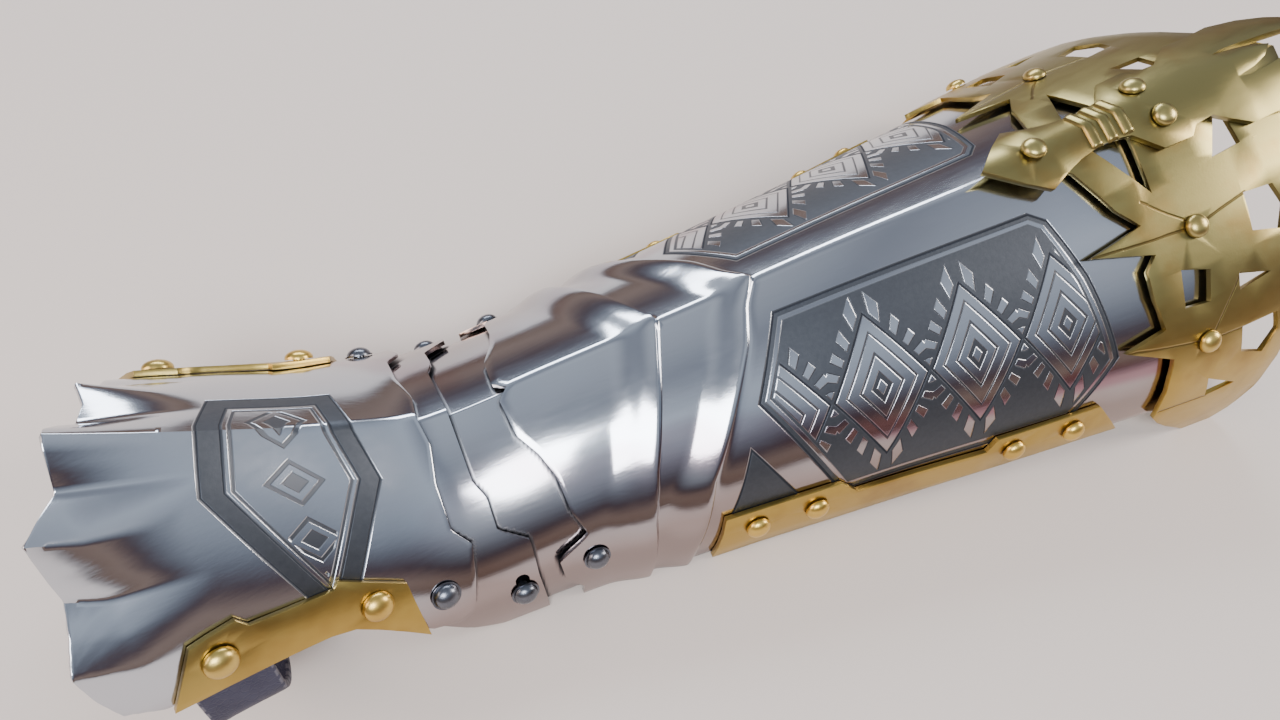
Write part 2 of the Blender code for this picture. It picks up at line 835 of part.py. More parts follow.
def side_strip(name, loop, lift_at, side, collection, cutters, brass):
    mesh = sheet_mesh(name, loop, [], lift_at, STRIP_CELL)
    if side < 0:
        for vert in mesh.vertices:
            vert.co.y = -vert.co.y
        mesh.flip_normals()
    item = new_object(name, mesh, collection, brass)
    add_wall(item, BRASS_THICKNESS)
    add_cut(item, cutters)
    return item


def elbow_trim(collection, cutters, brass):
    outline = flat_loop(TRIM_OUTLINE, TRIM_START, TRIM_LENGTH)
    openings = [flat_loop(rows, TRIM_START, TRIM_LENGTH) for rows in TRIM_OPENINGS]
    mesh = sheet_mesh("elbow_trim", outline, openings, constant_lift(TRIM_LIFT), TRIM_CELL)
    item = new_object("elbow_trim", mesh, collection, brass)
    add_mirror(item)
    add_wall(item, BRASS_THICKNESS)
    add_cut(item, cutters)
    return item


def keel_ornament(collection, cutters, brass):
    outline = flat_loop(ORNAMENT_OUTLINE, ORNAMENT_START, ORNAMENT_LENGTH)
    mesh = sheet_mesh("keel_ornament", outline, [], constant_lift(ORNAMENT_LIFT), ORNAMENT_CELL)
    item = new_object("keel_ornament", mesh, collection, brass)
    add_mirror(item)
    add_wall(item, ORNAMENT_THICKNESS)
    add_cut(item, cutters)
    return item


def hand_strap(collection, cutters, leather):
    # A plain strap that follows the inside of the flare and crosses under the palm
    inward = STEEL_THICKNESS + SEAT_GAP
    wall_steps = 5
    bend_steps = 4
    bm = bmesh.new()
    lines = []
    for reach in (STRAP_PLACE - STRAP_WIDTH / 2, STRAP_PLACE, STRAP_PLACE + STRAP_WIDTH / 2):
        line = []
        for i in range(wall_steps + 1):
            height = STRAP_TOP + (STRAP_LOW + STRAP_BEND - STRAP_TOP) * i / wall_steps
            share = share_at_height(reach, height)
            lowest = min(flare_lift(reach, share, -1), flare_lift(reach, share, 1))
            line.append(on_form(reach, share, lowest - inward))
        corner_y = line[-1].y
        for i in range(1, bend_steps + 1):
            angle = math.pi / 2 * i / bend_steps
            y = corner_y - STRAP_BEND * (1 - math.cos(angle))
            z = line[wall_steps].z - STRAP_BEND * math.sin(angle)
            line.append(Vector((line[0].x, y, z)))
        line.append(Vector((line[0].x, 0, line[-1].z)))
        lines.append([bm.verts.new((reach - MIDDLE, point.y, point.z)) for point in line])
    for first, second in zip(lines, lines[1:]):
        for j in range(len(first) - 1):
            bm.faces.new((first[j], second[j], second[j + 1], first[j + 1]))
    mesh = bpy.data.meshes.new("hand_strap")
    finish_mesh(bm, mesh)
    item = new_object("hand_strap", mesh, collection, leather)
    add_mirror(item)
    add_wall(item, LEATHER_THICKNESS)
    add_cut(item, cutters)
    return item


def build():
    for item in list(bpy.data.objects):
        bpy.data.objects.remove(item)
    scene_collection = bpy.context.scene.collection
    parts = make_collection("vambrace", scene_collection)
    cutters = make_collection("cutters", scene_collection)
    drills = {
        name: make_collection("drills_" + name, cutters)
        for name in ("forearm", "inner", "outer", "flare", "strip", "trim", "ornament", "strap", "flare_strip")
    }
    steel = make_material("polished_steel", (0.62, 0.65, 0.70), 0.12, 1)
    dark_steel = make_material("rivet_steel", (0.28, 0.29, 0.31), 0.35, 1)
    brass = make_material("brass", (0.62, 0.47, 0.17), 0.25, 1)
    leather = make_material("dark_leather", (0.05, 0.05, 0.09), 0.6, 0)

    sides = {"near": -1, "far": 1}
    brass_on_steel = STRIP_LIFT + STEEL_THICKNESS

    for side_name, side in sides.items():
        for index, (reach_share, height_share) in enumerate(FOREARM_STRIP_RIVETS, start=1):
            reach = reach_share * FOREARM_END
            share = low_share(forearm_low_height, reach) - height_share * FOREARM_STRIP_WIDTH / girth_of(reach)
            name = f"strip_rivet_{side_name}_{index}"
            add_rivet(name, reach, share, STRIP_LIFT, brass_on_steel, side, parts, brass)
            for owner in ("forearm", "strip"):
                add_hole(f"{name}_{owner}_drill", reach, share, STRIP_LIFT, side, drills[owner])
        for index, (reach_share, share) in enumerate(TRIM_RIVETS, start=1):
            reach = TRIM_START + reach_share * TRIM_LENGTH
            name = f"trim_rivet_{side_name}_{index}"
            add_rivet(name, reach, share, TRIM_LIFT, TRIM_LIFT + STEEL_THICKNESS, side, parts, brass)
            for owner in ("forearm", "trim"):
                add_hole(f"{name}_{owner}_drill", reach, share, TRIM_LIFT, side, drills[owner])
        reach = ORNAMENT_START + ORNAMENT_RIVETS[1][0] * ORNAMENT_LENGTH
        share = ORNAMENT_RIVETS[1][1]
        name = f"ornament_rivet_{side_name}"
        add_rivet(name, reach, share, ORNAMENT_LIFT, ORNAMENT_LIFT + STEEL_THICKNESS, side, parts, brass)
        for owner in ("forearm", "trim", "ornament"):
            add_hole(f"{name}_{owner}_drill", reach, share, ORNAMENT_LIFT, side, drills[owner])
    reach = ORNAMENT_START + ORNAMENT_RIVETS[0][0] * ORNAMENT_LENGTH
    keel_stack = ORNAMENT_LIFT + STEEL_THICKNESS + RIVET_KEEL_DROP
    add_rivet("ornament_rivet_tip", reach, 0, ORNAMENT_LIFT, keel_stack, 0, parts, brass)
    for owner in ("forearm", "ornament"):
        add_hole(f"ornament_rivet_tip_{owner}_drill", reach, 0, ORNAMENT_LIFT, 0, drills[owner])

    pivot_a = add_pivot("flare_pivot", PIVOT_A, parts)
    pivot_b = add_pivot("outer_lame_pivot", PIVOT_B, parts)
    pivot_c = add_pivot("inner_lame_pivot", PIVOT_C, parts)
    hang_on(pivot_b, pivot_c)
    hang_on(pivot_a, pivot_b)
    lame_stack = STEEL_THICKNESS * 2 + LAME_CLEARANCE + 2 * SEAT_GAP
    for side_name, side in sides.items():
        name = f"steel_rivet_c_{side_name}"
        add_rivet(name, PIVOT_C[0], pivot_share(PIVOT_C), FOREARM_LIFT, lame_stack, side, parts, dark_steel)
        for owner in ("forearm", "inner"):
            add_hole(f"{name}_{owner}_drill", PIVOT_C[0], pivot_share(PIVOT_C), FOREARM_LIFT, side, drills[owner])
        name = f"steel_rivet_b_{side_name}"
        item = add_rivet(name, PIVOT_B[0], pivot_share(PIVOT_B), OUTER_LAME_LIFT, lame_stack, side, parts, dark_steel)
        hang_on(item, pivot_c)
        add_hole(f"{name}_inner_drill", PIVOT_B[0], pivot_share(PIVOT_B), OUTER_LAME_LIFT, side, drills["inner"])
        add_hole(
            f"{name}_outer_drill", PIVOT_B[0], pivot_share(PIVOT_B), OUTER_LAME_LIFT, side,
            drills["outer"], SLOT_TRAVEL,
        )
        name = f"steel_rivet_a_{side_name}"
        item = add_rivet(name, PIVOT_A[0], pivot_share(PIVOT_A), FLARE_LIFT, lame_stack + TUCK_DEPTH, side, parts, dark_steel)
        hang_on(item, pivot_a)
        for owner in ("outer", "flare"):
            add_hole(f"{name}_{owner}_drill", PIVOT_A[0], pivot_share(PIVOT_A), FLARE_LIFT, side, drills[owner])
        for index, (reach_share, height_share) in enumerate(FLARE_STRIP_RIVETS, start=1):
            reach = reach_share * HAND_REACH
            share = low_share(flare_low_height, reach) - height_share * FLARE_STRIP_WIDTH / girth_of(reach)
            name = f"flare_rivet_{side_name}_{index}"
            owners = ["flare", "flare_strip"]
            stack = brass_on_steel
            if index == 1:
                owners.append("strap")
                stack += SEAT_GAP + LEATHER_THICKNESS
            top = flare_lift(reach, share, side) + STRIP_LIFT
            item = add_rivet(name, reach, share, top, stack, side, parts, brass)
            hang_on(item, pivot_a)
            for owner in owners:
                add_hole(f"{name}_{owner}_drill", reach, share, top, side, drills[owner])

    for name in ("forearm", "trim"):
        add_floor_cutter(drills[name])

    forearm_plate(parts, drills["forearm"], steel)
    elbow_trim(parts, drills["trim"], brass)
    keel_ornament(parts, drills["ornament"], brass)
    hang_on(inner_lame(parts, drills["inner"], steel), pivot_c)
    hang_on(outer_lame(parts, drills["outer"], steel), pivot_b)
    hang_on(flare_plate(parts, drills["flare"], steel), pivot_a)
    hang_on(hand_strap(parts, drills["strap"], leather), pivot_a)
    forearm_loop = strip_loop(
        FOREARM_STRIP_TOP, FOREARM_STRIP_FOOT, FOREARM_END, forearm_low_height, FOREARM_STRIP_WIDTH,
    )
    flare_loop = strip_loop(
        FLARE_STRIP_TOP, FLARE_STRIP_FOOT, HAND_REACH, flare_low_height, FLARE_STRIP_WIDTH,
    )
    for side_name, side in sides.items():
        side_strip(
            f"forearm_strip_{side_name}", forearm_loop, constant_lift(STRIP_LIFT), side, parts,
            drills["strip"], brass,
        )

        def flare_strip_lift(reach, share, side=side):
            return flare_lift(reach, share, side) + STRIP_LIFT

        strip = side_strip(
            f"flare_strip_{side_name}", flare_loop, flare_strip_lift, side, parts,
            drills["flare_strip"], brass,
        )
        hang_on(strip, pivot_a)


build()
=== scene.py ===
import math
import bpy
import numpy as np
from mathutils import Matrix, Vector


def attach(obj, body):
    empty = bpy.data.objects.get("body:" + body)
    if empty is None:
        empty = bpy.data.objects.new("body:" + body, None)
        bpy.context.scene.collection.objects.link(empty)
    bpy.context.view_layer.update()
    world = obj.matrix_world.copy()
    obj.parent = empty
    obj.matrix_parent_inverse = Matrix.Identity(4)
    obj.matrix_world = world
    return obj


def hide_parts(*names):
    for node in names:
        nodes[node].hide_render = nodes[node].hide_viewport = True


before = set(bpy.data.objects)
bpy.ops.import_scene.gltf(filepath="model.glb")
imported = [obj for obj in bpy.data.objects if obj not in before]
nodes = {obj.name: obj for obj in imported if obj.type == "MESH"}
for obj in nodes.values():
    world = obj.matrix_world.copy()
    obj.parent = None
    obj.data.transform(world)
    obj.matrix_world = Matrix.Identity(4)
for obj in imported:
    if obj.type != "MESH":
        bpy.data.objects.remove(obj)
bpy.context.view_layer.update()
mm = 0.001
tiny = 1e-6
print("frame loaded:", len(nodes), "nodes")

# the arm's form, shared by every plate

armForm = {
    "handReach": 79.5 * mm,
    "forearmReach": 250 * mm,
    "wristHalfWidth": 43 * mm,
    "handHalfWidth": 45 * mm,
    "elbowHalfWidth": 75 * mm,
    "wristHeight": 46 * mm,
    "handHeight": 89 * mm,
    "elbowHeight": 87.5 * mm,
    "keelSharpness": 0.72,
    "sideUprightness": 2.42,
    "middle": (291 - 79.5) / 2 * mm,
    # reach share, width gain, height gain
    "handSections": [
        (1.10, 1.10, 1.13), (1.00, 1.00, 1.00), (0.58, 0.30, 0.52), (0.29, -0.40, 0.21),
    ],
    "forearmSections": [
        (0.00, 0.00, 0.00), (0.13, 0.05, 0.11), (0.26, 0.17, 0.23), (0.49, 0.40, 0.47),
        (0.75, 0.73, 0.69), (1.00, 1.00, 1.00), (1.25, 1.09, 1.25),
    ],
}
sheetSizes = {
    "steel": 1.2 * mm,
    "leather": 2.0 * mm,
    "seatGap": 0.3 * mm,
    "flareLift": 2.4 * mm,
    "innerLameLift": -2.4 * mm,
}


def smoothThrough(xs, ys, x):
    # a curve through the points that never overshoots between two of them
    xs = np.asarray(xs, dtype=float)
    ys = np.asarray(ys, dtype=float)
    widths = np.diff(xs)
    slopes = np.diff(ys) / widths
    tangents = np.zeros(len(xs))
    tangents[0] = slopes[0]
    tangents[-1] = slopes[-1]
    for i in range(1, len(xs) - 1):
        before, after = slopes[i - 1], slopes[i]
        if before * after > 0:
            w1 = 2 * widths[i] + widths[i - 1]
            w2 = widths[i] + 2 * widths[i - 1]
            tangents[i] = (w1 + w2) / (w1 / before + w2 / after)
    x = np.clip(x, xs[0], xs[-1])
    i = np.clip(np.searchsorted(xs, x) - 1, 0, len(widths) - 1)
    t = (x - xs[i]) / widths[i]
    return (
        (1 + 2 * t) * (1 - t) ** 2 * ys[i] + t * (1 - t) ** 2 * widths[i] * tangents[i]
        + t * t * (3 - 2 * t) * ys[i + 1] + t * t * (t - 1) * widths[i] * tangents[i + 1]
    )


# how finely the form is worked out along the arm, from keel to floor, and in each section
netFineness = {
    "from": -87 * mm, "to": 302 * mm, "reaches": 390, "past": 1.2, "shares": 241, "turns": 181,
}


def formTable(form):
    # places, heights and normals of the form on a fine net of reach and girth share
    stations = []
    for reach, width, height in form["handSections"]:
        stations.append((
            -reach * form["handReach"],
            form["wristHalfWidth"] + width * (form["handHalfWidth"] - form["wristHalfWidth"]),
            form["wristHeight"] + height * (form["handHeight"] - form["wristHeight"]),
        ))
    for reach, width, height in form["forearmSections"]:
        stations.append((
            reach * form["forearmReach"],
            form["wristHalfWidth"] + width * (form["elbowHalfWidth"] - form["wristHalfWidth"]),
            form["wristHeight"] + height * (form["elbowHeight"] - form["wristHeight"]),
        ))
    stations.sort()
    places, widths, heights = (np.array(c) for c in zip(*stations))
    reaches = np.linspace(netFineness["from"], netFineness["to"], netFineness["reaches"])
    shares = np.linspace(0, netFineness["past"], netFineness["shares"])
    halfWidth = smoothThrough(places, widths, reaches)
    height = smoothThrough(places, heights, reaches)
    turn = np.linspace(0, math.pi / 2, netFineness["turns"])
    fall = np.sin(turn) ** 2
    k = form["keelSharpness"]
    unitY = (-k + np.sqrt(k * k + 4 * (1 - k) * fall)) / (2 * (1 - k))
    unitZ = np.clip(np.cos(turn), 0, 1) ** (2 / form["sideUprightness"])
    unitZ[-1] = 0
    net = np.zeros((len(reaches), len(shares), 3))
    girths = np.zeros(len(reaches))
    for i, reach in enumerate(reaches):
        y, z = halfWidth[i] * unitY, height[i] * unitZ
        girth = np.concatenate([[0], np.cumsum(np.hypot(np.diff(y), np.diff(z)))])
        girths[i] = girth[-1]
        net[i, :, 0] = reach
        net[i, :, 1] = np.interp(shares, girth / girth[-1], y)
        past = np.maximum(shares - 1, 0) * girth[-1]
        net[i, :, 2] = np.interp(shares, girth / girth[-1], z) - past
    along = np.gradient(net, axis=0)
    around = np.gradient(net, axis=1)
    normals = np.cross(along, around)
    normals[:, shares >= 1] = normals[:, shares < 1][:, -3:-2]
    normals /= np.linalg.norm(normals, axis=2, keepdims=True)
    return {
        "reaches": reaches, "shares": shares, "net": net, "normals": normals, "girths": girths,
    }


form = formTable(armForm)


def fromNet(values, reach, share):
    r, s = (
        np.clip(np.interp(value, form[key], np.arange(len(form[key]))), 0, len(form[key]) - 1.001)
        for value, key in ((reach, "reaches"), (share, "shares")))
    i, j = r.astype(int), s.astype(int)
    a, b = (r - i)[:, None], (s - j)[:, None]
    return (
        values[i, j] * (1 - a) * (1 - b) + values[i + 1, j] * a * (1 - b)
        + values[i, j + 1] * (1 - a) * b + values[i + 1, j + 1] * a * b
    )


def onForm(reach, share, lift, side):
    # arrays of places, lifted off the form; side is -1 on the near half and 1 on the far half
    reach, share, lift, side = np.broadcast_arrays(
        np.atleast_1d(reach).astype(float), np.atleast_1d(share).astype(float), lift, side)
    point = fromNet(form["net"], reach, share)
    normal = fromNet(form["normals"], reach, share)
    onKeel = share < tiny
    flat = normal * [1, 0, 1]
    flat = flat / np.maximum(np.linalg.norm(flat, axis=1, keepdims=True), tiny)
    keelLift = (lift / np.maximum((normal * flat).sum(1), 0.2))[:, None] * flat
    point = point + np.where(onKeel[:, None], keelLift, normal * np.asarray(lift)[:, None])
    point[:, 1] = np.maximum(point[:, 1], 0) * side
    point[:, 0] -= armForm["middle"]
    return point


def girthAt(reach):
    return np.interp(reach, form["reaches"], form["girths"])


def shareAtHeight(reach, height):
    out = np.zeros(len(reach))
    for n, (r, h) in enumerate(zip(reach, height)):
        i = int(np.clip(np.searchsorted(form["reaches"], r), 0, len(form["reaches"]) - 1))
        zs = form["net"][i, :, 2]
        out[n] = np.interp(-h, -zs, form["shares"])
    return out


def rowsThrough(rows, x, column=1):
    return np.interp(x, [row[0] for row in rows], [row[column] for row in rows])


# pieces


def deselectAll():
    if bpy.context.object and bpy.context.object.mode != "OBJECT":
        bpy.ops.object.mode_set(mode="OBJECT")
    bpy.ops.object.select_all(action="DESELECT")


def makeActive(piece):
    deselectAll()
    piece.select_set(True)
    bpy.context.view_layer.objects.active = piece


def applyAll(piece):
    makeActive(piece)
    for modifier in list(piece.modifiers):
        bpy.ops.object.modifier_apply(modifier=modifier.name)


def addWall(piece, thickness):
    wall = piece.modifiers.new("wall", "SOLIDIFY")
    wall.thickness = thickness
    wall.offset = -1
    wall.use_even_offset = True


def clearInside(piece):
    # only the outside keeps the painted gap shade and dark residue; a new wall's inner points
    # come second
    values = piece.data.attributes["gapShadeAndResidue"].data
    shades = np.zeros(len(values), np.float32)
    values.foreach_get("value", shades)
    shades[len(shades) // 2:] = 0
    values.foreach_set("value", shades)


def addBevel(piece, width, segments=2, angle=40):
    bevel = piece.modifiers.new("softEdge", "BEVEL")
    bevel.width = width
    bevel.segments = segments
    bevel.limit_method = "ANGLE"
    bevel.angle_limit = math.radians(angle)
    bevel.use_clamp_overlap = True
    bevel.harden_normals = False


def smoothByAngle(piece, angle=32):
    makeActive(piece)
    bpy.ops.object.shade_smooth_by_angle(angle=math.radians(angle))


def gridSheet(name, columns, rows, placing):
    # a flat grid whose columns run along the arm and whose rows run round it, laid on the form
    deselectAll()
    bpy.ops.mesh.primitive_grid_add(
        x_subdivisions=columns, y_subdivisions=rows, size=2, location=(0, 0, 0))
    piece = bpy.context.object
    piece.name = name
    mesh = piece.data
    count = len(mesh.vertices)
    flat = np.zeros(count * 3, np.float32)
    mesh.vertices.foreach_get("co", flat)
    flat = flat.reshape(-1, 3).astype(float)
    column = np.rint((flat[:, 0] + 1) / 2 * columns)
    row = np.rint((flat[:, 1] + 1) / 2 * rows)
    points, patternU, patternV, *gapShadeAndResidue = placing(column / columns, row / rows * 2 - 1)
    # a further array, where there is one, holds the painted gap shade and residue
    if gapShadeAndResidue:
        shade = mesh.attributes.new("gapShadeAndResidue", "FLOAT", "POINT")
        shade.data.foreach_set("value", gapShadeAndResidue[0].astype(np.float32))
    mesh.vertices.foreach_set("co", points.astype(np.float32).ravel())
    loopVertex = np.zeros(len(mesh.loops), np.int32)
    mesh.loops.foreach_get("vertex_index", loopVertex)
    uv = np.stack([patternU[loopVertex], patternV[loopVertex]], 1)
    mesh.uv_layers[0].data.foreach_set("uv", uv.astype(np.float32).ravel())
    mesh.update()
    return piece


def cadCopy(name, node):
    # a copy of a node whose loose triangles are merged first
    source = nodes[node]
    piece = bpy.data.objects.new(name, source.data.copy())
    bpy.context.scene.collection.objects.link(piece)
    piece.data.materials.clear()
    makeActive(piece)
    bpy.ops.object.mode_set(mode="EDIT")
    bpy.ops.mesh.select_all(action="SELECT")
    bpy.ops.mesh.remove_doubles(threshold=0.00001)
    bpy.ops.mesh.tris_convert_to_quads(
        face_threshold=math.radians(25), shape_threshold=math.radians(40))
    bpy.ops.object.mode_set(mode="OBJECT")
    return piece


def mapOnForm(piece):
    # a map of reach and girth for a piece that was made flat and laid on the form
    mesh = piece.data
    co = np.zeros(len(mesh.vertices) * 3, np.float32)
    mesh.vertices.foreach_get("co", co)
    co = co.reshape(-1, 3).astype(float)
    reach = co[:, 0] + armForm["middle"]
    rows = np.rint(np.interp(reach, form["reaches"], np.arange(len(form["reaches"])))).astype(int)
    sections = form["net"][rows][:, :, 1:]
    gap = (sections[:, :, 0] - np.abs(co[:, 1:2])) ** 2 + (sections[:, :, 1] - co[:, 2:3]) ** 2
    share = form["shares"][gap.argmin(1)]
    girth = np.sign(co[:, 1]) * share * girthAt(reach)
    if not mesh.uv_layers:
        mesh.uv_layers.new(name="UVMap")
    loopVertex = np.zeros(len(mesh.loops), np.int32)
    mesh.loops.foreach_get("vertex_index", loopVertex)
    uv = np.stack([reach[loopVertex], girth[loopVertex]], 1)
    mesh.uv_layers[0].data.foreach_set("uv", uv.astype(np.float32).ravel())


def finishPiece(piece, material, body, replaced):
    piece.data.materials.clear()
    piece.data.materials.append(material)
    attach(piece, body)
    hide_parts(*replaced)


# materials


class Socket:
    # one output of a node, on which the usual operators add Math nodes
    def __init__(self, maker, output):
        self.maker = maker
        self.output = output

    def math(self, operation, *others):
        return self.maker.node(
            "ShaderNodeMath", {"operation": operation}, dict(enumerate([self, *others])))

    def __add__(self, other):
        return self.math("ADD", other)

    __radd__ = __add__

    def __sub__(self, other):
        return self.math("SUBTRACT", other)

    def __rsub__(self, other):
        return (self * -1) + other

    def __mul__(self, other):
        return self.math("MULTIPLY", other)

    __rmul__ = __mul__

    def __truediv__(self, other):
        return self.math("DIVIDE", other)

    def __pow__(self, other):
        return self.math("POWER", other)

    def largest(self, other):
        return self.math("MAXIMUM", other)

    def smallest(self, other):
        return self.math("MINIMUM", other)

    def size(self):
        return self.math("ABSOLUTE")

    def below(self, edge, soft):
        # 1 where the value is under the edge, 0 above it, with a soft step between
        return self.maker.node(
            "ShaderNodeMapRange", {"interpolation_type": "SMOOTHSTEP"},
            {0: self, 1: edge - soft, 2: edge + soft, 3: 1.0, 4: 0.0})


class Finish:
    # one material, built node by node
    def __init__(self, name):
        self.material = bpy.data.materials.new(name)
        self.material.use_nodes = True
        self.tree = self.material.node_tree
        self.shader = self.tree.nodes["Principled BSDF"]

    def node(self, kind, settings=None, inputs=None, output=0):
        made = self.tree.nodes.new(kind)
        for key, value in (settings or {}).items():
            setattr(made, key, value)
        for key, value in (inputs or {}).items():
            self.feed(made.inputs[key], value)
        return Socket(self, made.outputs[output])

    def feed(self, target, value):
        if isinstance(value, Socket):
            self.tree.links.new(value.output, target)
        else:
            target.default_value = value

    def set(self, **values):
        for key, value in values.items():
            self.feed(self.shader.inputs[key.replace("_", " ")], value)

    def place(self):
        return self.node("ShaderNodeTexCoord", output=3)

    def height(self):
        # height over the floor in metres
        parts = self.tree.nodes.new("ShaderNodeSeparateXYZ")
        self.tree.links.new(self.place().output, parts.inputs[0])
        return Socket(self, parts.outputs[2])

    def pattern(self):
        # reach and girth in millimetres, from the piece's own map
        uv = self.node("ShaderNodeUVMap", {"uv_map": "UVMap"})
        parts = self.tree.nodes.new("ShaderNodeSeparateXYZ")
        self.tree.links.new(uv.output, parts.inputs[0])
        return Socket(self, parts.outputs[0]) * 1000, Socket(self, parts.outputs[1]) * 1000

    def noise(self, scale, detail=3.0, rough=0.5, stretch=(1, 1, 1)):
        stretched = self.node("ShaderNodeMapping", {}, {0: self.place(), 3: stretch})
        return self.node(
            "ShaderNodeTexNoise", {},
            {"Vector": stretched, "Scale": scale, "Detail": detail, "Roughness": rough})

    def mix(self, factor, first, second):
        made = self.tree.nodes.new("ShaderNodeMix")
        made.data_type = "RGBA"
        self.feed(made.inputs[0], factor)
        for slot, value in ((6, first), (7, second)):
            self.feed(made.inputs[slot], value if isinstance(value, Socket) else (*value, 1))
        return Socket(self, made.outputs[2])

    def bump(self, height, strength, distance):
        return self.node(
            "ShaderNodeBump", {}, {"Height": height, "Strength": strength, "Distance": distance})


def insideOf(x, y, corners):
    # signed distance in millimetres to a convex outline, negative inside
    distance = None
    centerX = sum(c[0] for c in corners) / len(corners)
    centerY = sum(c[1] for c in corners) / len(corners)
    for (x0, y0), (x1, y1) in zip(corners, corners[1:] + corners[:1]):
        length = math.hypot(x1 - x0, y1 - y0)
        nx, ny = (y1 - y0) / length, -(x1 - x0) / length
        if (centerX - x0) * nx + (centerY - y0) * ny > 0:
            nx, ny = -nx, -ny
        side = x * nx + y * ny - (x0 * nx + y0 * ny)
        distance = side if distance is None else distance.largest(side)
    return distance


steelLook = {
    "color": (0.55, 0.585, 0.645),
    "warmColor": (0.52, 0.51, 0.525),
    # painted reflection of the warm floor, on the steel's low parts
    "lowFloorReflection": (0.30, 0.225, 0.205),
    # painted reflection streak, maroon
    "tint": (0.30, 0.12, 0.17),
    "etched": (0.066, 0.073, 0.086),
    "etchedLight": (0.096, 0.104, 0.120),
    "engraved": (0.028, 0.032, 0.042),
    # painted shade in the gap by an overlying plate's edge, and dark residue under it
    "gapShadeAndResidue": (0.020, 0.021, 0.027),
    "roughness": 0.13,
    "etchedRoughness": 0.46,
}
brassLook = {
    "gold": (0.49, 0.335, 0.085),
    # olive is painted light on the upper brass
    "oliveLitTop": (0.300, 0.250, 0.095),
    "brown": (0.27, 0.150, 0.035),
    "roughness": 0.30,
    "creases": [
        # from, to: share of the band's length, girth share
        [(0.044, 0.310), (0.440, 0.325)], [(0.440, 0.325), (0.648, 0.290)],
        [(0.121, 0.592), (0.451, 0.625)], [(0.451, 0.625), (0.593, 0.617)],
        [(0.440, 0.325), (0.275, 0.220)], [(0.451, 0.625), (0.571, 0.475)],
        [(0.341, 0.830), (0.538, 0.817)],
    ],
}
rivetLook = {"dark": (0.085, 0.092, 0.112), "light": (0.21, 0.222, 0.255), "roughness": 0.27}
# the seam is so many millimetres from the strap's middle
strapLook = {
    "navy": (0.016, 0.016, 0.040), "worn": (0.060, 0.058, 0.095), "roughness": 0.55,
    "seam": 7.8,
}


def steelBase(finish, etched=None, deep=None, gapShadeAndResidue=None):
    look = steelLook
    height = finish.height()
    cloud = finish.noise(9, 4, 0.55)
    brushed = finish.noise(90, 3, 0.6, (0.35, 6, 6))
    scratches = finish.noise(240, 2, 0.7, (0.12, 5, 5))
    waves = finish.noise(24, 2, 0.5, (0.5, 1, 1))
    color = finish.mix((cloud - 0.35) * 2.2, look["color"], look["warmColor"])
    # painted reflection: the steel turns warm brown towards the bottom, as if mirroring the floor
    low = ((0.046 - height) * 42 + (cloud - 0.5) * 1.5).largest(0).smallest(1)
    color = finish.mix(low * 0.85, color, look["lowFloorReflection"])
    # painted reflection: a wavy maroon streak at one height across the steel, patchy with the
    # cloud noise
    band = (height - 0.037 + (waves - 0.5) * 0.020).size().below(0.0028, 0.0016)
    color = finish.mix(band * (cloud - 0.34).largest(0) * 2.4, color, look["tint"])
    roughness = cloud * 0.10 + brushed * 0.07 + (look["roughness"] - 0.085)
    bumps = brushed * 0.35 + scratches * 0.25 + waves * 5.0
    if etched is not None:
        grain = finish.noise(700, 3, 0.7)
        color = finish.mix(etched, color, finish.mix(grain, look["etched"], look["etchedLight"]))
        roughness = roughness + etched * (look["etchedRoughness"] - look["roughness"])
        bumps = bumps + etched * (grain * 1.2 - 6.0)
    if deep is not None:
        color = finish.mix(deep, color, look["engraved"])
        roughness = roughness + deep * 0.30
        bumps = bumps - deep * 6.0
    # painted shade beside the edge of the plate above, with dark residue where it overlaps
    if gapShadeAndResidue is not None:
        color = finish.mix(gapShadeAndResidue, color, look["gapShadeAndResidue"])
        roughness = roughness + gapShadeAndResidue * 0.35
    finish.set(
        Base_Color=color, Metallic=1.0, Roughness=roughness,
        Normal=finish.bump(bumps, 0.4, 0.00007))
    return finish.material


bandStart = 185 * mm
bandLength = 91 * mm
forearmPanel = {
    # corners as reach and girth in millimetres from the keel
    "side": [
        (93, 10.5), (81, 32), (103, 72), (181, 83), (196, 67), (189, 38), (182, 18), (177, 14),
    ],
    "cheek": [(76, 42.5), (90, 66), (67, 64)],
    "border": 2.4,
    "lozengeStep": 31.0,
    "lozengeStart": 117.0,
    "lozengeRow": 45.0,
}


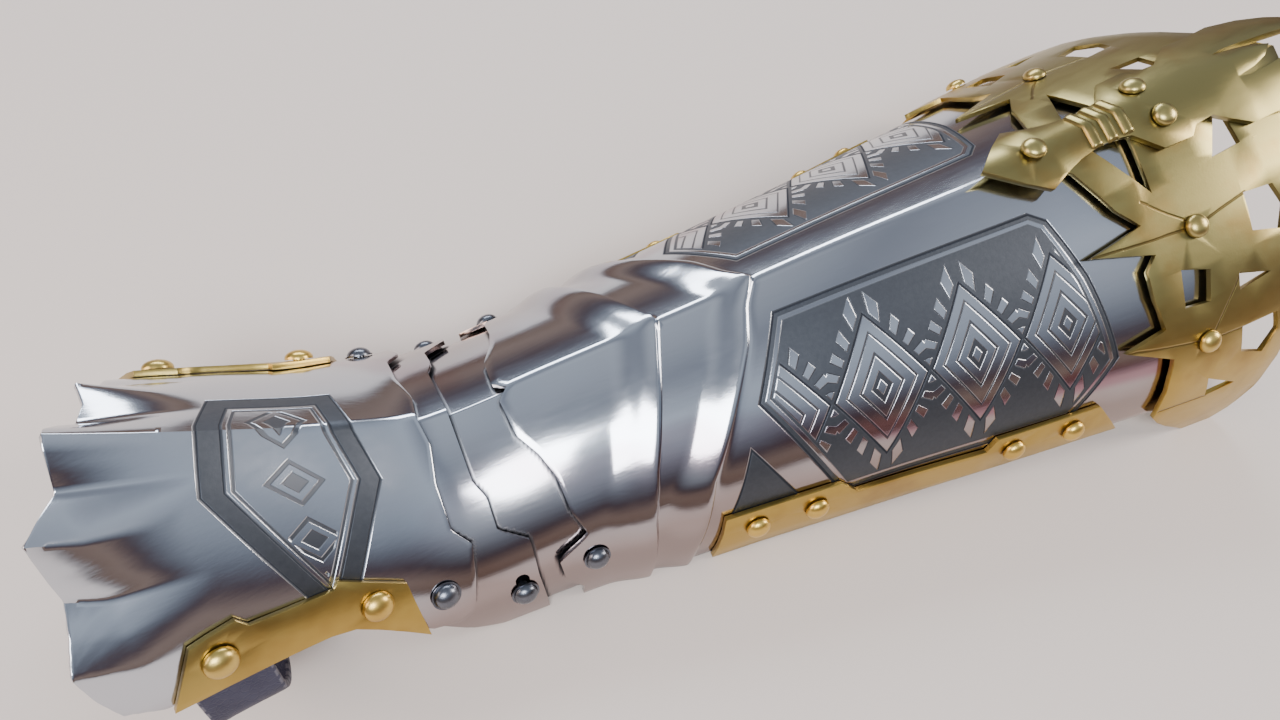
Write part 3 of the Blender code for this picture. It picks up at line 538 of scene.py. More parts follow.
def forearmSteel():
    finish = Finish("forearmSteel")
    x, v = finish.pattern()
    y = v.size()
    panel = forearmPanel
    side = insideOf(x, y, panel["side"])
    cheek = insideOf(x, y, panel["cheek"])
    ground = side.below(0, 0.25).largest(cheek.below(0, 0.25))
    # a row of polished nested lozenges with short rays round them on a matte ground
    inner = side.below(-panel["border"] - 1.6, 0.25)
    rim = (side + panel["border"]).size().below(0.6, 0.2)
    step = panel["lozengeStep"]
    local = (x - panel["lozengeStart"] + step * 8.5).math("MODULO", step) - step / 2
    across = y - panel["lozengeRow"] - (x - 140) * 0.10
    lozenge = local.size() / 14.5 + across.size() / 21.0
    fill = lozenge.below(1.0, 0.015) * inner
    grooves = None
    for level, width in ((1.02, 0.028), (0.76, 0.024), (0.46, 0.030), (0.17, 0.060)):
        ring = (lozenge - level).size().below(width, 0.012)
        grooves = ring if grooves is None else grooves.largest(ring)
    rays = (across.math("ARCTAN2", local) * 20.0).math("COSINE")
    ringed = (1 - lozenge.below(1.14, 0.015)) * lozenge.below(1.46, 0.015)
    fan = rays.below(-0.05, 0.10) * ringed * inner
    fanEdge = (rays + 0.05).size().below(0.16, 0.08) * ringed
    edge = (side + 0.2).size().below(0.4, 0.15).largest((cheek + 0.2).size().below(0.35, 0.15))
    etched = ground * (1 - fill.largest(fan).largest(rim * side.below(0, 0.2)))
    deep = (grooves.largest(fanEdge) * inner).largest(edge)
    return steelBase(finish, etched, deep * 0.85)


flareEmblem = {
    "center": (-34.0, -9.0),
    "corners": [(-17, -4), (-12, 21), (12, 21), (17, -4), (3, -33), (-3, -33)],
    "band": 2.1,
    "lozengeStep": 13.0,
}


def flareSteel():
    finish = Finish("flareSteel")
    x, y = finish.pattern()
    emblem = flareEmblem
    cx, cy = emblem["center"]
    # a pointed shield outline with three lozenges down its middle
    corners = [(cx + dx, cy + dy) for dx, dy in emblem["corners"]]
    shield = insideOf(x, y, corners)
    band = (shield + emblem["band"]).size().below(emblem["band"], 0.25)
    inner = shield.below(-6.5, 0.25)
    step = emblem["lozengeStep"]
    local = (y - cy + 100).math("MODULO", step) - step / 2
    lozenge = (x - cx).size() / 6.2 + local.size() / 5.6
    motif = ((lozenge - 0.85).size().below(0.10, 0.03)).largest(lozenge.below(0.42, 0.03)) * inner
    line = (shield + 5.6).size().below(0.35, 0.15)
    deep = motif.largest(line)
    edge = (shield + emblem["band"] * 2).size().below(0.30, 0.12)
    edge = edge.largest(shield.size().below(0.30, 0.12))
    return steelBase(finish, band, deep.largest(edge) * 0.85)


def lameSteel():
    finish = Finish("lameSteel")
    gapShadeAndResidue = finish.node("ShaderNodeAttribute", {"attribute_name": "gapShadeAndResidue"}, {}, 2)
    return steelBase(finish, gapShadeAndResidue=gapShadeAndResidue)


def toSegment(x, y, start, end):
    # distance in millimetres to a straight line between two points
    dx, dy = end[0] - start[0], end[1] - start[1]
    length = math.hypot(dx, dy)
    ux, uy = dx / length, dy / length
    along = ((x - start[0]) * ux + (y - start[1]) * uy).largest(0).smallest(length)
    gapX = x - start[0] - along * ux
    gapY = y - start[1] - along * uy
    return (gapX ** 2 + gapY ** 2).math("SQRT")


def brassFinish(name, bright=1.0, creased=False):
    look = brassLook
    finish = Finish(name)
    height = finish.height()
    cloud = finish.noise(16, 4, 0.55)
    patches = finish.noise(48, 3, 0.6)
    brushed = finish.noise(160, 3, 0.6, (0.4, 3, 3))
    pits = finish.noise(1400, 2, 0.6)
    # bright lightens every colour, for a lit copy of the brass with painted light
    gold, oliveLitTop, brown = (
        tuple(min(c * bright, 0.95) for c in look[key]) for key in ("gold", "oliveLitTop", "brown"))
    # painted light: the brass turns from gold low down to olive towards the top
    paintedTopLight = ((height - 0.034) * 34 + (cloud - 0.5) * 1.2).largest(0).smallest(1)
    color = finish.mix(paintedTopLight, gold, oliveLitTop)
    color = finish.mix(((patches - 0.50) * 2.4).largest(0).smallest(0.7), color, brown)
    bumps = brushed * 0.6 + pits * 0.5
    roughness = cloud * 0.14 + brushed * 0.08 + (look["roughness"] - 0.09)
    if creased:
        x, v = finish.pattern()
        y = v.size()
        crease = None
        for start, end in look["creases"]:
            ends = []
            for reach, girth in (start, end):
                place = bandStart + reach * bandLength
                ends.append((place * 1000, girth * float(girthAt(place)) * 1000))
            line = toSegment(x, y, *ends).below(0.32, 0.22)
            crease = line if crease is None else crease.largest(line)
        # painted shade darkens each crease; the bump below dents it
        color = finish.mix(crease * 0.65, color, tuple(c * 0.35 for c in look["brown"]))
        bumps = bumps - crease * 5.0
    finish.set(
        Base_Color=color, Metallic=1.0, Roughness=roughness,
        Normal=finish.bump(bumps, 0.4, 0.00008))
    return finish.material


def rivetSteel():
    look = rivetLook
    finish = Finish("rivetSteel")
    cloud = finish.noise(220, 3, 0.6)
    finish.set(
        Base_Color=finish.mix(cloud, look["dark"], look["light"]), Metallic=1.0,
        Roughness=cloud * 0.16 + look["roughness"] - 0.06,
        Normal=finish.bump(finish.noise(900, 2, 0.6), 0.25, 0.00008))
    return finish.material


def strapLeather():
    look = strapLook
    finish = Finish("strapLeather")
    grain = finish.node(
        "ShaderNodeTexVoronoi", {"feature": "DISTANCE_TO_EDGE"},
        {"Vector": finish.place(), "Scale": 620.0})
    wear = finish.noise(60, 4, 0.6)
    x, along = finish.pattern()
    # a stitch line runs along both edges
    seam = (x.size() - look["seam"]).size().below(0.45, 0.15)
    stitch = seam * (along * 1.9).math("SINE").below(0.35, 0.2)
    color = finish.mix((wear - 0.4) * 1.6, look["navy"], look["worn"])
    color = finish.mix(stitch, color, (0.10, 0.095, 0.12))
    finish.set(
        Base_Color=color, Roughness=wear * 0.2 + (look["roughness"] - 0.1),
        Normal=finish.bump(grain.smallest(0.12) * 6 + stitch * 1.5 - seam, 0.5, 0.0002))
    return finish.material


# the forearm plate

forearmPlate = {
    "edge": 17 * mm,
    "edgeDepth": 11 * mm,
    "end": 234 * mm,
    "stepOneKeel": 63 * mm,
    "stepOneSweep": 17 * mm,
    "stepTwoKeel": 92 * mm,
    "stepTwoSweep": 34 * mm,
    "stepHeight": 2.4 * mm,
    "stepSwell": 15 * mm,
    "swellMiddle": 0.4,
    "stepTwoSwell": 0.9,
    "stepDrop": 1.3 * mm,
    # girth share, share of the edge's depth
    "edgeShape": [
        (0.00, 0.27), (0.04, 0.00), (0.18, 0.09), (0.28, 0.45), (0.38, 0.64), (0.52, 0.73),
        (0.63, 1.00), (0.70, 0.18), (0.82, 0.27), (0.92, 0.73), (1.00, 0.73),
    ],
    "stepOneShape": [(0, 0), (0.11, 0.18), (0.26, 0.41), (0.48, 0.76), (0.66, 0.94), (1, 1)],
    "stepTwoShape": [
        (0, 0), (0.07, 0.13), (0.19, 0.24), (0.35, 0.47), (0.58, 0.79), (0.86, 0.97), (1, 1),
    ],
    # shares of the grid's length at which its columns meet the steps
    "marks": [0, 0.07, 0.16, 0.20, 0.225, 0.30, 0.37, 0.395, 1.0],
    "cells": (150, 96),
    # share of the end, share of the wrist height
    "lowEdge": [
        (0.00, 0.0), (0.24, 0.0), (0.30, 0.03), (0.47, 0.06), (0.61, 0.14), (0.76, 0.25),
        (0.92, 0.34), (1.00, 0.38),
    ],
}


def lowShare(rows, scale, reach):
    scaled = [(share * scale, h * armForm["wristHeight"]) for share, h in rows]
    height = rowsThrough(scaled, reach)
    return shareAtHeight(reach, np.maximum(height, 0.05 * mm))


def edgeReach(spec, key, share):
    # where a shaped edge lies at these girth shares
    return spec[key] + spec[key + "Depth"] * rowsThrough(spec[key + "Shape"], share)


def softStep(t):
    t = np.clip(t, 0, 1)
    return t * t * (3 - 2 * t)


def forearmPlacing(column, row):
    spec = forearmPlate
    side = np.where(row < 0, -1.0, 1.0)
    part = np.abs(row)
    share = part.copy()
    marks = spec["marks"]
    for _ in range(7):
        start = edgeReach(spec, "edge", share)
        one, two = (
            spec[step + "Keel"] - spec[step + "Sweep"] * rowsThrough(spec[step + "Shape"], share)
            for step in ("stepOne", "stepTwo"))
        end = np.full_like(share, spec["end"])
        swell = spec["stepSwell"]
        drop = spec["stepDrop"]
        lines = [
            start, one - swell, one - swell * spec["swellMiddle"], one - drop, one,
            np.maximum(two - swell * spec["stepTwoSwell"], one + 0.4 * mm), two - drop, two, end,
        ]
        reach = np.zeros_like(share)
        for a, b, first, second in zip(marks, marks[1:], lines, lines[1:]):
            inside = (column >= a) & (column <= b)
            t = (column - a) / (b - a)
            reach = np.where(inside, first * (1 - t) + second * t, reach)
        share = part * lowShare(spec["lowEdge"], spec["end"], reach)
    fade = 1 - 0.25 * softStep((share - 0.8) / 0.2)
    rises = []
    for step, length in ((one, swell), (two, swell * spec["stepTwoSwell"])):
        climb = softStep((reach - (step - length)) / (length - drop)) ** 1.2
        fall = np.clip((step - reach) / drop, 0, 1)
        rises.append(np.where(reach <= step - drop, climb, fall))
    lift = spec["stepHeight"] * fade * np.where(reach <= one, *rises)
    return onForm(reach, share, lift, side), reach, side * share * girthAt(reach)


# the lames

lameSizes = {
    "outerStart": -19 * mm,
    "outerEdge": 4 * mm,
    "outerEdgeDepth": 11 * mm,
    "innerStart": -2 * mm,
    "innerEnd": 39 * mm,
    "tuckDepth": 2.0 * mm,
    "tuckLength": 13 * mm,
    "innerTuckShare": 0.6,
    # the dark residue, with painted shade in the gap beside each edge, ends so far past the plate
    # over it, and begins so far before the next
    "darkPast": 0.3 * mm,
    "darkFade": 0.9 * mm,
    "darkBefore": 1.2 * mm,
    "slotTravel": 4.5 * mm,
    "slotRadius": 1.9 * mm,
    "slotPlace": (8.5 * mm, 14.5 * mm),
    "outerEdgeShape": [
        (0, 0), (0.28, 0), (0.35, 0.18), (0.48, 0.18), (0.56, 0.82), (0.72, 0.82), (1, 1),
    ],
    "innerCells": (68, 110),
    "outerCells": (52, 120),
    # share of the slot's reach, share of the wrist height
    "outerLowEdge": [(-2.3, 0.36), (-1.0, 0.17), (0.2, 0.03), (1.9, 0.02)],
    "innerLowEdge": [(-1.0, 0.02), (1.0, 0.02)],
}


def outerLamePlacing(column, row):
    spec = lameSizes
    side = np.where(row < 0, -1.0, 1.0)
    part = np.abs(row)
    share = part.copy()
    for _ in range(7):
        end = edgeReach(spec, "outerEdge", share)
        reach = spec["outerStart"] * (1 - column) + end * column
        share = part * lowShare(spec["outerLowEdge"], spec["slotPlace"][0], reach)
    tuck = np.clip((spec["outerStart"] + spec["tuckLength"] - reach) / spec["tuckLength"], 0, 1)
    flareEnd = edgeReach(handFlare, "edge", share)
    # painted shade a little past the flare's edge, and residue under it
    gapShadeAndResidue = 1 - softStep((reach - flareEnd - spec["darkPast"]) / spec["darkFade"])
    flareLow = lowShare(handFlare["lowEdge"], armForm["handReach"], reach)
    gapShadeAndResidue = gapShadeAndResidue * (1 - softStep((share - flareLow + 0.005) / 0.012))
    place = onForm(reach, share, -spec["tuckDepth"] * tuck, side)
    return place, reach, side * share * girthAt(reach), gapShadeAndResidue


def innerLamePlacing(column, row):
    spec = lameSizes
    side = np.where(row < 0, -1.0, 1.0)
    part = np.abs(row)
    reach = spec["innerStart"] * (1 - column) + spec["innerEnd"] * column
    share = part * lowShare(spec["innerLowEdge"], 1.0, reach)
    half = spec["tuckLength"] / 2
    lowTuck = np.clip((spec["innerStart"] + half - reach) / half, 0, 1)
    highTuck = np.clip((reach - spec["innerEnd"] + spec["tuckLength"]) / spec["tuckLength"], 0, 1)
    depth = spec["tuckDepth"] * spec["innerTuckShare"]
    lift = sheetSizes["innerLameLift"] - depth * np.maximum(lowTuck, highTuck)
    outerEnd = edgeReach(spec, "outerEdge", share)
    plate = edgeReach(forearmPlate, "edge", share)
    # painted shade beside the outer lame's and the forearm plate's edges, and residue under them
    gapShadeAndResidue = np.maximum(
        1 - softStep((reach - outerEnd - spec["darkPast"]) / spec["darkFade"]),
        softStep((reach - plate + spec["darkBefore"]) / spec["darkFade"]))
    return onForm(reach, share, lift, side), reach, side * share * girthAt(reach), gapShadeAndResidue


# the hand flare

handFlare = {
    "edge": -5 * mm,
    "edgeDepth": 4 * mm,
    "fluteDepth": 3.0 * mm,
    "fluteLength": 22 * mm,
    "scallop": 9 * mm,
    "cells": (66, 120),
    "edgeShape": [
        (0, 0.25), (0.10, 0.50), (0.24, 0), (0.41, 0), (0.48, 1), (0.60, 0.60), (0.68, 0.25),
        (1, -1.2),
    ],
    # row share, near scallop, far scallop, near flute, far flute
    "tip": [
        (0.000, 1.00, 1.00, 0.30, 0.30), (0.080, 1.00, 1.20, -0.30, -0.30),
        (0.160, 1.00, 1.45, -1.00, -1.00), (0.235, 0.60, 1.50, -0.10, -0.10),
        (0.315, 0.22, 1.30, 0.90, 0.90), (0.420, 0.33, 1.45, -0.10, 0.20),
        (0.530, 0.44, 1.60, -1.00, -0.30), (0.650, 0.25, 1.50, 0.10, -0.10),
        (0.775, 0.00, 1.30, 1.00, 0.05), (0.890, 0.11, 1.00, 0.60, 0.05),
        (1.000, 0.33, 0.85, 0.30, 0.05),
    ],
    # share of the hand's reach, share of the wrist height
    "lowEdge": [
        (-1.00, 0.99), (-0.88, 0.84), (-0.57, 0.76), (-0.43, 0.70), (-0.30, 0.53), (-0.20, 0.38),
        (-0.11, 0.34), (-0.04, 0.40),
    ],
}


def bySide(row, side, near, far):
    # a column of the tip's table for the near half and another for the far half
    tip = handFlare["tip"]
    return np.where(side < 0, rowsThrough(tip, row, near), rowsThrough(tip, row, far))


def flareTip(row, side):
    spec = handFlare
    scallop = bySide(row, side, 1, 2)
    return -armForm["handReach"] + spec["scallop"] * scallop


def flareLiftAt(reach, row, side):
    # the flutes are deepest at the hand end and die out along the flare
    spec = handFlare
    fade = np.clip(1 - (reach - flareTip(row, side)) / spec["fluteLength"], 0, 1) ** 1.3
    flute = bySide(row, side, 3, 4)
    return sheetSizes["flareLift"] + spec["fluteDepth"] * flute * fade


def flarePlacing(column, row):
    spec = handFlare
    side = np.where(row < 0, -1.0, 1.0)
    part = np.abs(row)
    share = part * 0.6
    tip = flareTip(part, side)
    spread = column ** 1.25
    for _ in range(9):
        end = edgeReach(spec, "edge", share)
        reach = tip + (end - tip) * spread
        share = part * lowShare(spec["lowEdge"], armForm["handReach"], reach)
    lift = flareLiftAt(reach, part, side)
    return onForm(reach, share, lift, side), reach, side * share * girthAt(reach)


# strap under the palm

handStrap = {
    "width": 16 * mm, "place": -58 * mm, "top": 51 * mm, "low": 10 * mm, "bend": 14 * mm,
    "cells": (8, 96),
}


def strapPlacing(column, row):
    spec = handStrap
    inward = sheetSizes["steel"] + sheetSizes["seatGap"]
    points = np.zeros((len(column), 3))
    lengths = np.zeros(len(column))
    for value in np.unique(column):
        reach = spec["place"] + (value - 0.5) * spec["width"]
        heights = np.linspace(spec["top"], spec["low"] + spec["bend"], 14)
        reaches = np.full(14, reach)
        share = shareAtHeight(reaches, heights)
        part = share / lowShare(handFlare["lowEdge"], armForm["handReach"], reaches)
        lowest = np.minimum(flareLiftAt(reaches, part, -1.0), flareLiftAt(reaches, part, 1.0))
        wall = onForm(reaches, share, lowest - inward, 1.0)
        turn = np.linspace(0, math.pi / 2, 12)[1:]
        corner = wall[-1, 1]
        bendY = corner - spec["bend"] * (1 - np.cos(turn))
        bendZ = wall[-1, 2] - spec["bend"] * np.sin(turn)
        y = np.concatenate([wall[:, 1], bendY, [0]])
        z = np.concatenate([wall[:, 2], bendZ, [bendZ[-1]]])
        away = np.concatenate([[0], np.cumsum(np.hypot(np.diff(y), np.diff(z)))])
        here = column == value
        t = (1 - np.abs(row[here])) * away[-1]
        points[here, 0] = reach - armForm["middle"]
        points[here, 1] = np.interp(t, away, y) * np.where(row[here] < 0, -1, 1)
        points[here, 2] = np.interp(t, away, z)
        lengths[here] = t
    return points, (column - 0.5) * spec["width"], lengths


lameMaterial = lameSteel()
forearmMaterial = forearmSteel()
flareMaterial = flareSteel()
brassMaterial = brassFinish("agedBrass")
bandBrass = brassFinish("creasedBrass", creased=True)
# a brighter copy of the aged brass: painted light on the rivet domes
rivetBrass = brassFinish("rivetBrass", bright=1.45)
rivetMaterial = rivetSteel()
leatherMaterial = strapLeather()
print("materials made")

forearmPiece = gridSheet("forearmPlateFine", *forearmPlate["cells"], forearmPlacing)
addWall(forearmPiece, sheetSizes["steel"])
addBevel(forearmPiece, 0.3 * mm, 2, 50)
applyAll(forearmPiece)
smoothByAngle(forearmPiece, 40)
finishPiece(forearmPiece, forearmMaterial, "forearm", ["forearm_plate"])

innerPiece = gridSheet("innerLameFine", *lameSizes["innerCells"], innerLamePlacing)
addWall(innerPiece, sheetSizes["steel"])
applyAll(innerPiece)
clearInside(innerPiece)
addBevel(innerPiece, 0.3 * mm, 2, 50)
applyAll(innerPiece)
smoothByAngle(innerPiece, 40)
finishPiece(innerPiece, lameMaterial, "inner_lame", ["inner_lame"])

outerPiece = gridSheet("outerLameFine", *lameSizes["outerCells"], outerLamePlacing)
addWall(outerPiece, sheetSizes["steel"])
applyAll(outerPiece)
clearInside(outerPiece)


def slotCutter(side):
    # a stadium drill that leaves room above the rivet
    reach, height = lameSizes["slotPlace"]
    share = shareAtHeight(np.array([reach]), np.array([height]))
    place = Vector(onForm([reach], share, 0.0, side)[0])
    above = Vector(onForm([reach], share - 0.02, 0.0, side)[0])
    outward = Vector(onForm([reach], share, 1 * mm, side)[0]) - place
    deselectAll()
    bpy.ops.mesh.primitive_cylinder_add(vertices=32, radius=lameSizes["slotRadius"], depth=9 * mm)
    cutter = bpy.context.object
    up = (above - place).normalized()
    out = outward.normalized()
    turned = Matrix((up, out.cross(up), out)).transposed()
    for vertex in cutter.data.vertices:
        if vertex.co.x > 0:
            vertex.co.x += lameSizes["slotTravel"]
        vertex.co = turned @ vertex.co + place
    return cutter


for side in (-1.0, 1.0):
    cutter = slotCutter(side)
    slot = outerPiece.modifiers.new("slot", "BOOLEAN")
    slot.operation = "DIFFERENCE"
    slot.solver = "EXACT"
    slot.object = cutter
    applyAll(outerPiece)
    bpy.data.objects.remove(cutter)
smoothByAngle(outerPiece, 40)
finishPiece(outerPiece, lameMaterial, "outer_lame", ["outer_lame"])

flarePiece = gridSheet("handFlareFine", *handFlare["cells"], flarePlacing)
addWall(flarePiece, sheetSizes["steel"])
addBevel(flarePiece, 0.3 * mm, 2, 50)
applyAll(flarePiece)
smoothByAngle(flarePiece, 40)
finishPiece(flarePiece, flareMaterial, "hand_flare", ["flare_plate"])

strapPiece = gridSheet("handStrapLeather", *handStrap["cells"], strapPlacing)
makeActive(strapPiece)
bpy.ops.object.mode_set(mode="EDIT")
bpy.ops.mesh.select_all(action="SELECT")
bpy.ops.mesh.normals_make_consistent(inside=False)
bpy.ops.object.mode_set(mode="OBJECT")
strapMiddle = 30 * mm  # a height inside the strap's loop
outwardness = sum(
    (face.center.y * face.normal.y + (face.center.z - strapMiddle) * face.normal.z) * face.area
    for face in strapPiece.data.polygons)
if outwardness < 0:
    strapPiece.data.flip_normals()
addWall(strapPiece, sheetSizes["leather"])
addBevel(strapPiece, 0.5 * mm, 3, 50)
applyAll(strapPiece)
smoothByAngle(strapPiece, 40)
finishPiece(strapPiece, leatherMaterial, "hand_flare", ["hand_strap"])
print("plates and strap made")

# brass sheets

brassSheets = {
    "forearm_strip_near": ("forearm", 0.45 * mm),
    "forearm_strip_far": ("forearm", 0.45 * mm),
    "elbow_trim": ("forearm", 0.45 * mm),
    "keel_ornament": ("forearm", 0.6 * mm),
    "flare_strip_near": ("hand_flare", 0.45 * mm),
    "flare_strip_far": ("hand_flare", 0.45 * mm),
}
for node, (body, width) in brassSheets.items():
    words = node.split("_")
    piece = cadCopy(words[0] + "".join(word.capitalize() for word in words[1:]) + "Brass", node)
    addBevel(piece, width, 2, 50)
    applyAll(piece)
    smoothByAngle(piece, 32)
    mapOnForm(piece)
    sheetBrass = bandBrass if node == "elbow_trim" else brassMaterial
    finishPiece(piece, sheetBrass, body, [node])

# millimetres along the arm and off the form; share is how far round, as a girth share
collar = {
    "ribs": (203.5, 209.0, 214.5), "halfLength": 1.9, "height": 1.3, "share": 0.050, "lift": 5.2,
    "cells": (12, 24),
}


def ribPlacing(middle):
    def placing(column, row):
        side = np.where(row < 0, -1.0, 1.0)
        swell = np.sqrt(np.clip(1 - (column * 2 - 1) ** 2, 0, 1))
        reach = np.full_like(column, middle * mm) + (column * 2 - 1) * collar["halfLength"] * mm
        share = np.abs(row) * collar["share"]
        ends = np.clip((1 - np.abs(row)) * 8, 0, 1) ** 0.5
        lift = (collar["lift"] - 0.1 + collar["height"] * swell * ends) * mm
        return onForm(reach, share, lift, side), reach, side * share
    return placing


for number, middle in enumerate(collar["ribs"]):
    rib = gridSheet(f"collarRib{number + 1}", *collar["cells"], ribPlacing(middle))
    addWall(rib, 0.3 * mm)
    applyAll(rib)
    smoothByAngle(rib, 50)
    rib.data.materials.append(brassMaterial)
    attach(rib, "forearm")
print("brass sheets made")

# rivets

rivetSizes = {
    "radius": 3.65 * mm, "dome": 2.6 * mm, "skirt": 0.35 * mm,
    "shankRadius": 1.5 * mm, "tailRadius": 2.4 * mm, "tailHeight": 0.9 * mm,
}


def domeOnce(isSteel):
    # half a ball on a short skirt; the steel ones stand on a thin rim
    deselectAll()
    bpy.ops.mesh.primitive_uv_sphere_add(segments=32, ring_count=18, radius=1, location=(0, 0, 0))
    dome = bpy.context.object
    bpy.ops.object.mode_set(mode="EDIT")
    bpy.ops.mesh.select_all(action="SELECT")
    bpy.ops.mesh.bisect(plane_co=(0, 0, 0.0), plane_no=(0, 0, 1), clear_inner=True)
    bpy.ops.object.mode_set(mode="OBJECT")
    radius = rivetSizes["radius"] * (0.9 if isSteel else 1.0)
    for vertex in dome.data.vertices:
        vertex.co.x *= radius
        vertex.co.y *= radius
        vertex.co.z *= rivetSizes["dome"] - rivetSizes["skirt"]
    bpy.ops.object.mode_set(mode="EDIT")
    bpy.ops.mesh.select_all(action="SELECT")
    bpy.ops.mesh.region_to_loop()
    if isSteel:
        bpy.ops.mesh.extrude_edges_move()
        spread = rivetSizes["radius"] * 1.03 / radius
        bpy.ops.transform.resize(value=(spread, spread, 1))
    bpy.ops.mesh.extrude_edges_move(
        TRANSFORM_OT_translate={"value": (0, 0, -rivetSizes["skirt"])})
    bpy.ops.mesh.edge_face_add()
    bpy.ops.mesh.select_all(action="SELECT")
    bpy.ops.mesh.normals_make_consistent(inside=False)
    bpy.ops.object.mode_set(mode="OBJECT")
    return dome


def tailOnce():
    # a low cap over a shank one metre long, which each copy shortens to its own stack
    deselectAll()
    bpy.ops.mesh.primitive_cylinder_add(
        vertices=24, radius=rivetSizes["tailRadius"], depth=rivetSizes["tailHeight"],
        location=(0, 0, rivetSizes["tailHeight"] / 2))
    tail = bpy.context.object
    bpy.ops.object.mode_set(mode="EDIT")
    bpy.ops.mesh.select_mode(type="FACE")
    bpy.ops.mesh.select_all(action="DESELECT")
    bpy.ops.object.mode_set(mode="OBJECT")
    for face in tail.data.polygons:
        face.select = face.normal.z < -0.9
    bpy.ops.object.mode_set(mode="EDIT")
    bpy.ops.mesh.inset(thickness=rivetSizes["tailRadius"] - rivetSizes["shankRadius"])
    bpy.ops.mesh.extrude_region_move(TRANSFORM_OT_translate={"value": (0, 0, -1)})
    bpy.ops.object.mode_set(mode="OBJECT")
    addBevel(tail, 0.35 * mm, 3, 60)
    applyAll(tail)
    return tail


def rivetPlace(node):
    # the head's top point and the direction in which it looks
    co = np.array([v.co for v in nodes[node].data.vertices], float)
    centre = co.mean(0)
    best = None
    for candidate in np.linalg.svd(co - centre, full_matrices=False)[2]:
        along = (co - centre) @ candidate
        for sign in (1, -1):
            far = co[np.argmax(along * sign)]
            near = np.abs((along * sign) - (along * sign).max()) < 0.02 * mm
            spread = np.ptp(co[near], axis=0).max()
            if spread < 0.3 * mm:
                ring = np.linalg.norm(np.cross(co - far, candidate), axis=1).max()
                off = abs(ring - rivetSizes["radius"])
                if best is None or off < best[0]:
                    best = (off, far, candidate * sign)
    return Vector(best[1]), Vector(best[2])


def rivetPiece(name, members, isSteel, body, material):
    master = domeOnce(isSteel)
    tailMaster = tailOnce()
    copies = []
    for node in members:
        top, direction = rivetPlace(node)
        copy = bpy.data.objects.new(node + "Dome", master.data.copy())
        bpy.context.scene.collection.objects.link(copy)
        turn = direction.to_track_quat("Z", "Y").to_matrix().to_4x4()
        base = top - direction * (rivetSizes["dome"] - rivetSizes["skirt"])
        copy.data.transform(Matrix.Translation(base) @ turn)
        tail = bpy.data.objects.new(node + "Tail", tailMaster.data.copy())
        bpy.context.scene.collection.objects.link(tail)
        lowest = min((vertex.co - top).dot(direction) for vertex in nodes[node].data.vertices)
        foot = top + direction * (lowest + rivetSizes["tailHeight"])
        reach = (base - foot).length - rivetSizes["skirt"] / 2
        for vertex in tail.data.vertices:
            if vertex.co.z < -0.5:
                vertex.co.z = -reach
        turnBack = (-direction).to_track_quat("Z", "Y").to_matrix().to_4x4()
        tail.data.transform(Matrix.Translation(foot) @ turnBack)
        copies += [copy, tail]
    bpy.data.objects.remove(master)
    bpy.data.objects.remove(tailMaster)
    deselectAll()
    for copy in copies:
        copy.select_set(True)
    bpy.context.view_layer.objects.active = copies[0]
    bpy.ops.object.join()
    piece = bpy.context.object
    piece.name = name
    smoothByAngle(piece, 50)
    finishPiece(piece, material, body, members)


def named(start):
    return sorted(n for n in nodes if n.startswith(start))


forearmRivets = named("strip_rivet") + named("trim_rivet") + named("ornament_rivet")
rivetPiece("forearmBrassRivets", forearmRivets, False, "forearm", rivetBrass)
rivetPiece("flareBrassRivets", named("flare_rivet"), False, "hand_flare", rivetBrass)
for name, start, body in (
    ("forearmPivotRivets", "steel_rivet_c", "forearm"),
    ("lamePivotRivets", "steel_rivet_b", "inner_lame"),
    ("flarePivotRivets", "steel_rivet_a", "hand_flare"),
):
    rivetPiece(name, named(start), True, body, rivetMaterial)
print("rivets made")

# floor, light and camera

studio = {
    "floorColor": (0.64, 0.56, 0.51),
    "camera": (-121.75 * mm, -104.3 * mm, 227.0 * mm),
    "azimuth": -36.0,
    "elevation": 55.7,
    "roll": 11.69,
    "focal": 807.2,
    "imageWidth": 1280,
    "skyStrength": 0.75,
}

deselectAll()
bpy.ops.mesh.primitive_plane_add(size=6, location=(0, 0, 0))
floor = bpy.context.object
floor.name = "floor"
floorFinish = Finish("floorPaint")
floorFinish.set(Base_Color=(*studio["floorColor"], 1), Roughness=0.7)
floor.data.materials.append(floorFinish.material)

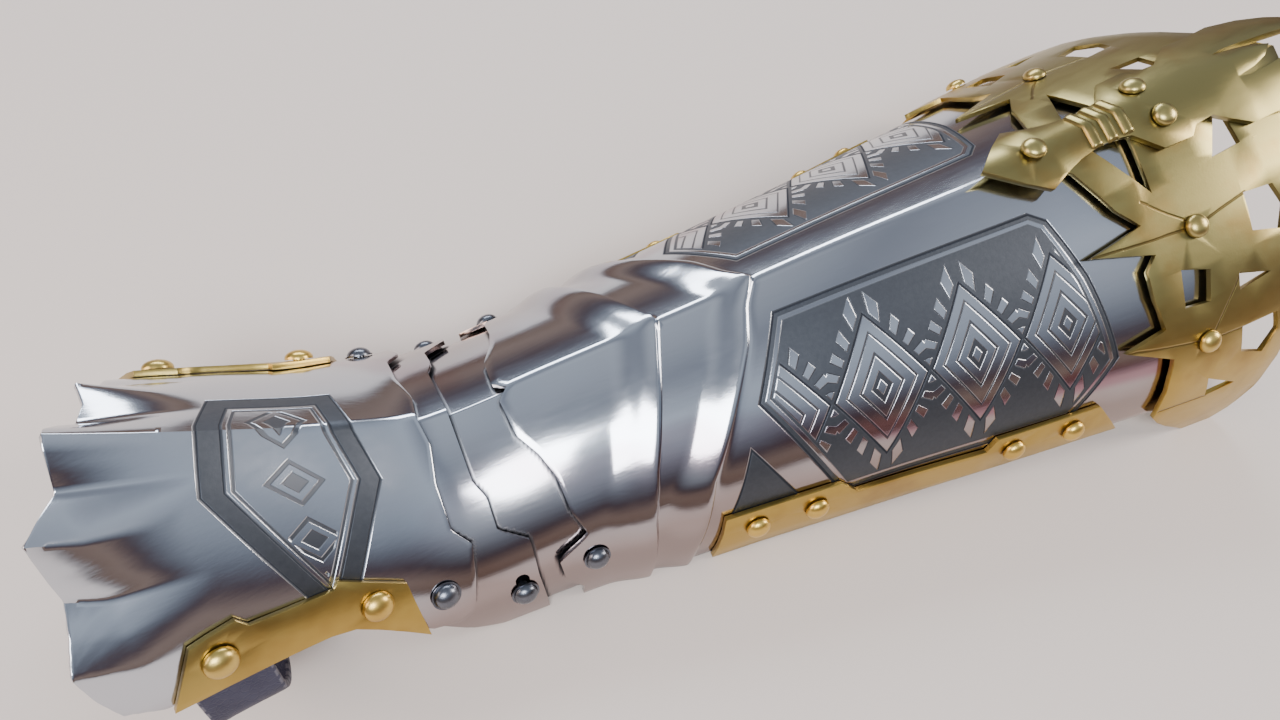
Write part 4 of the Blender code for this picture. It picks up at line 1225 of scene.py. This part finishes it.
world = bpy.data.worlds.new("studioAir")
bpy.context.scene.world = world
world.use_nodes = True
air = world.node_tree
background = air.nodes["Background"]
coordinate = air.nodes.new("ShaderNodeTexCoord")
split = air.nodes.new("ShaderNodeSeparateXYZ")
ramp = air.nodes.new("ShaderNodeValToRGB")
air.links.new(coordinate.outputs["Generated"], split.inputs[0])
air.links.new(split.outputs[2], ramp.inputs[0])
air.links.new(ramp.outputs[0], background.inputs[0])
skyStops = [
    (0.0, (0.32, 0.21, 0.17)), (0.12, (0.50, 0.36, 0.30)), (0.27, (0.13, 0.09, 0.11)),
    (0.38, (0.26, 0.28, 0.34)), (0.56, (0.62, 0.69, 0.80)), (0.74, (0.86, 0.95, 1.08)),
    (0.90, (0.42, 0.46, 0.55)), (1.0, (0.85, 0.92, 1.02)),
]
while len(ramp.color_ramp.elements) < len(skyStops):
    ramp.color_ramp.elements.new(0.5)
for element, (place, color) in zip(ramp.color_ramp.elements, skyStops):
    element.position = place
    element.color = (*color, 1)
background.inputs[1].default_value = studio["skyStrength"]


def softBox(name, place, target, size, power, color):
    lamp = bpy.data.lights.new(name, "AREA")
    lamp.shape = "RECTANGLE"
    lamp.size, lamp.size_y = size
    lamp.energy = power
    lamp.color = color
    holder = bpy.data.objects.new(name, lamp)
    bpy.context.scene.collection.objects.link(holder)
    holder.location = place
    holder.rotation_euler = (Vector(target) - Vector(place)).to_track_quat("-Z", "Y").to_euler()


softBox("keyBox", (-0.35, -0.55, 0.75), (0, 0, 0.03), (0.5, 0.35), 9, (0.95, 0.97, 1.0))
softBox("farBox", (0.15, 0.75, 0.60), (0, 0, 0.05), (0.9, 0.25), 8, (0.88, 0.93, 1.0))
softBox("warmBox", (-0.75, 0.10, 0.35), (0, 0, 0.05), (0.35, 0.5), 4, (1.0, 0.80, 0.68))
softBox("elbowBox", (0.75, -0.25, 0.45), (0.1, 0, 0.05), (0.3, 0.3), 5, (1.0, 0.93, 0.86))

camera = bpy.data.objects.new("camera", bpy.data.cameras.new("camera"))
bpy.context.scene.collection.objects.link(camera)
bpy.context.scene.camera = camera
a, e, roll = (math.radians(studio[key]) for key in ("azimuth", "elevation", "roll"))
back = Vector((math.sin(a) * math.cos(e), -math.cos(a) * math.cos(e), math.sin(e)))
right = Vector((math.cos(a), math.sin(a), 0))
up = back.cross(right)
turnedRight = math.cos(roll) * right + math.sin(roll) * up
turnedUp = -math.sin(roll) * right + math.cos(roll) * up
camera.rotation_euler = Matrix((turnedRight, turnedUp, back)).transposed().to_euler()
camera.location = studio["camera"]
camera.data.sensor_width = 36
camera.data.lens = 36 * studio["focal"] / studio["imageWidth"]
camera.data.clip_start = 0.01
print("studio set")
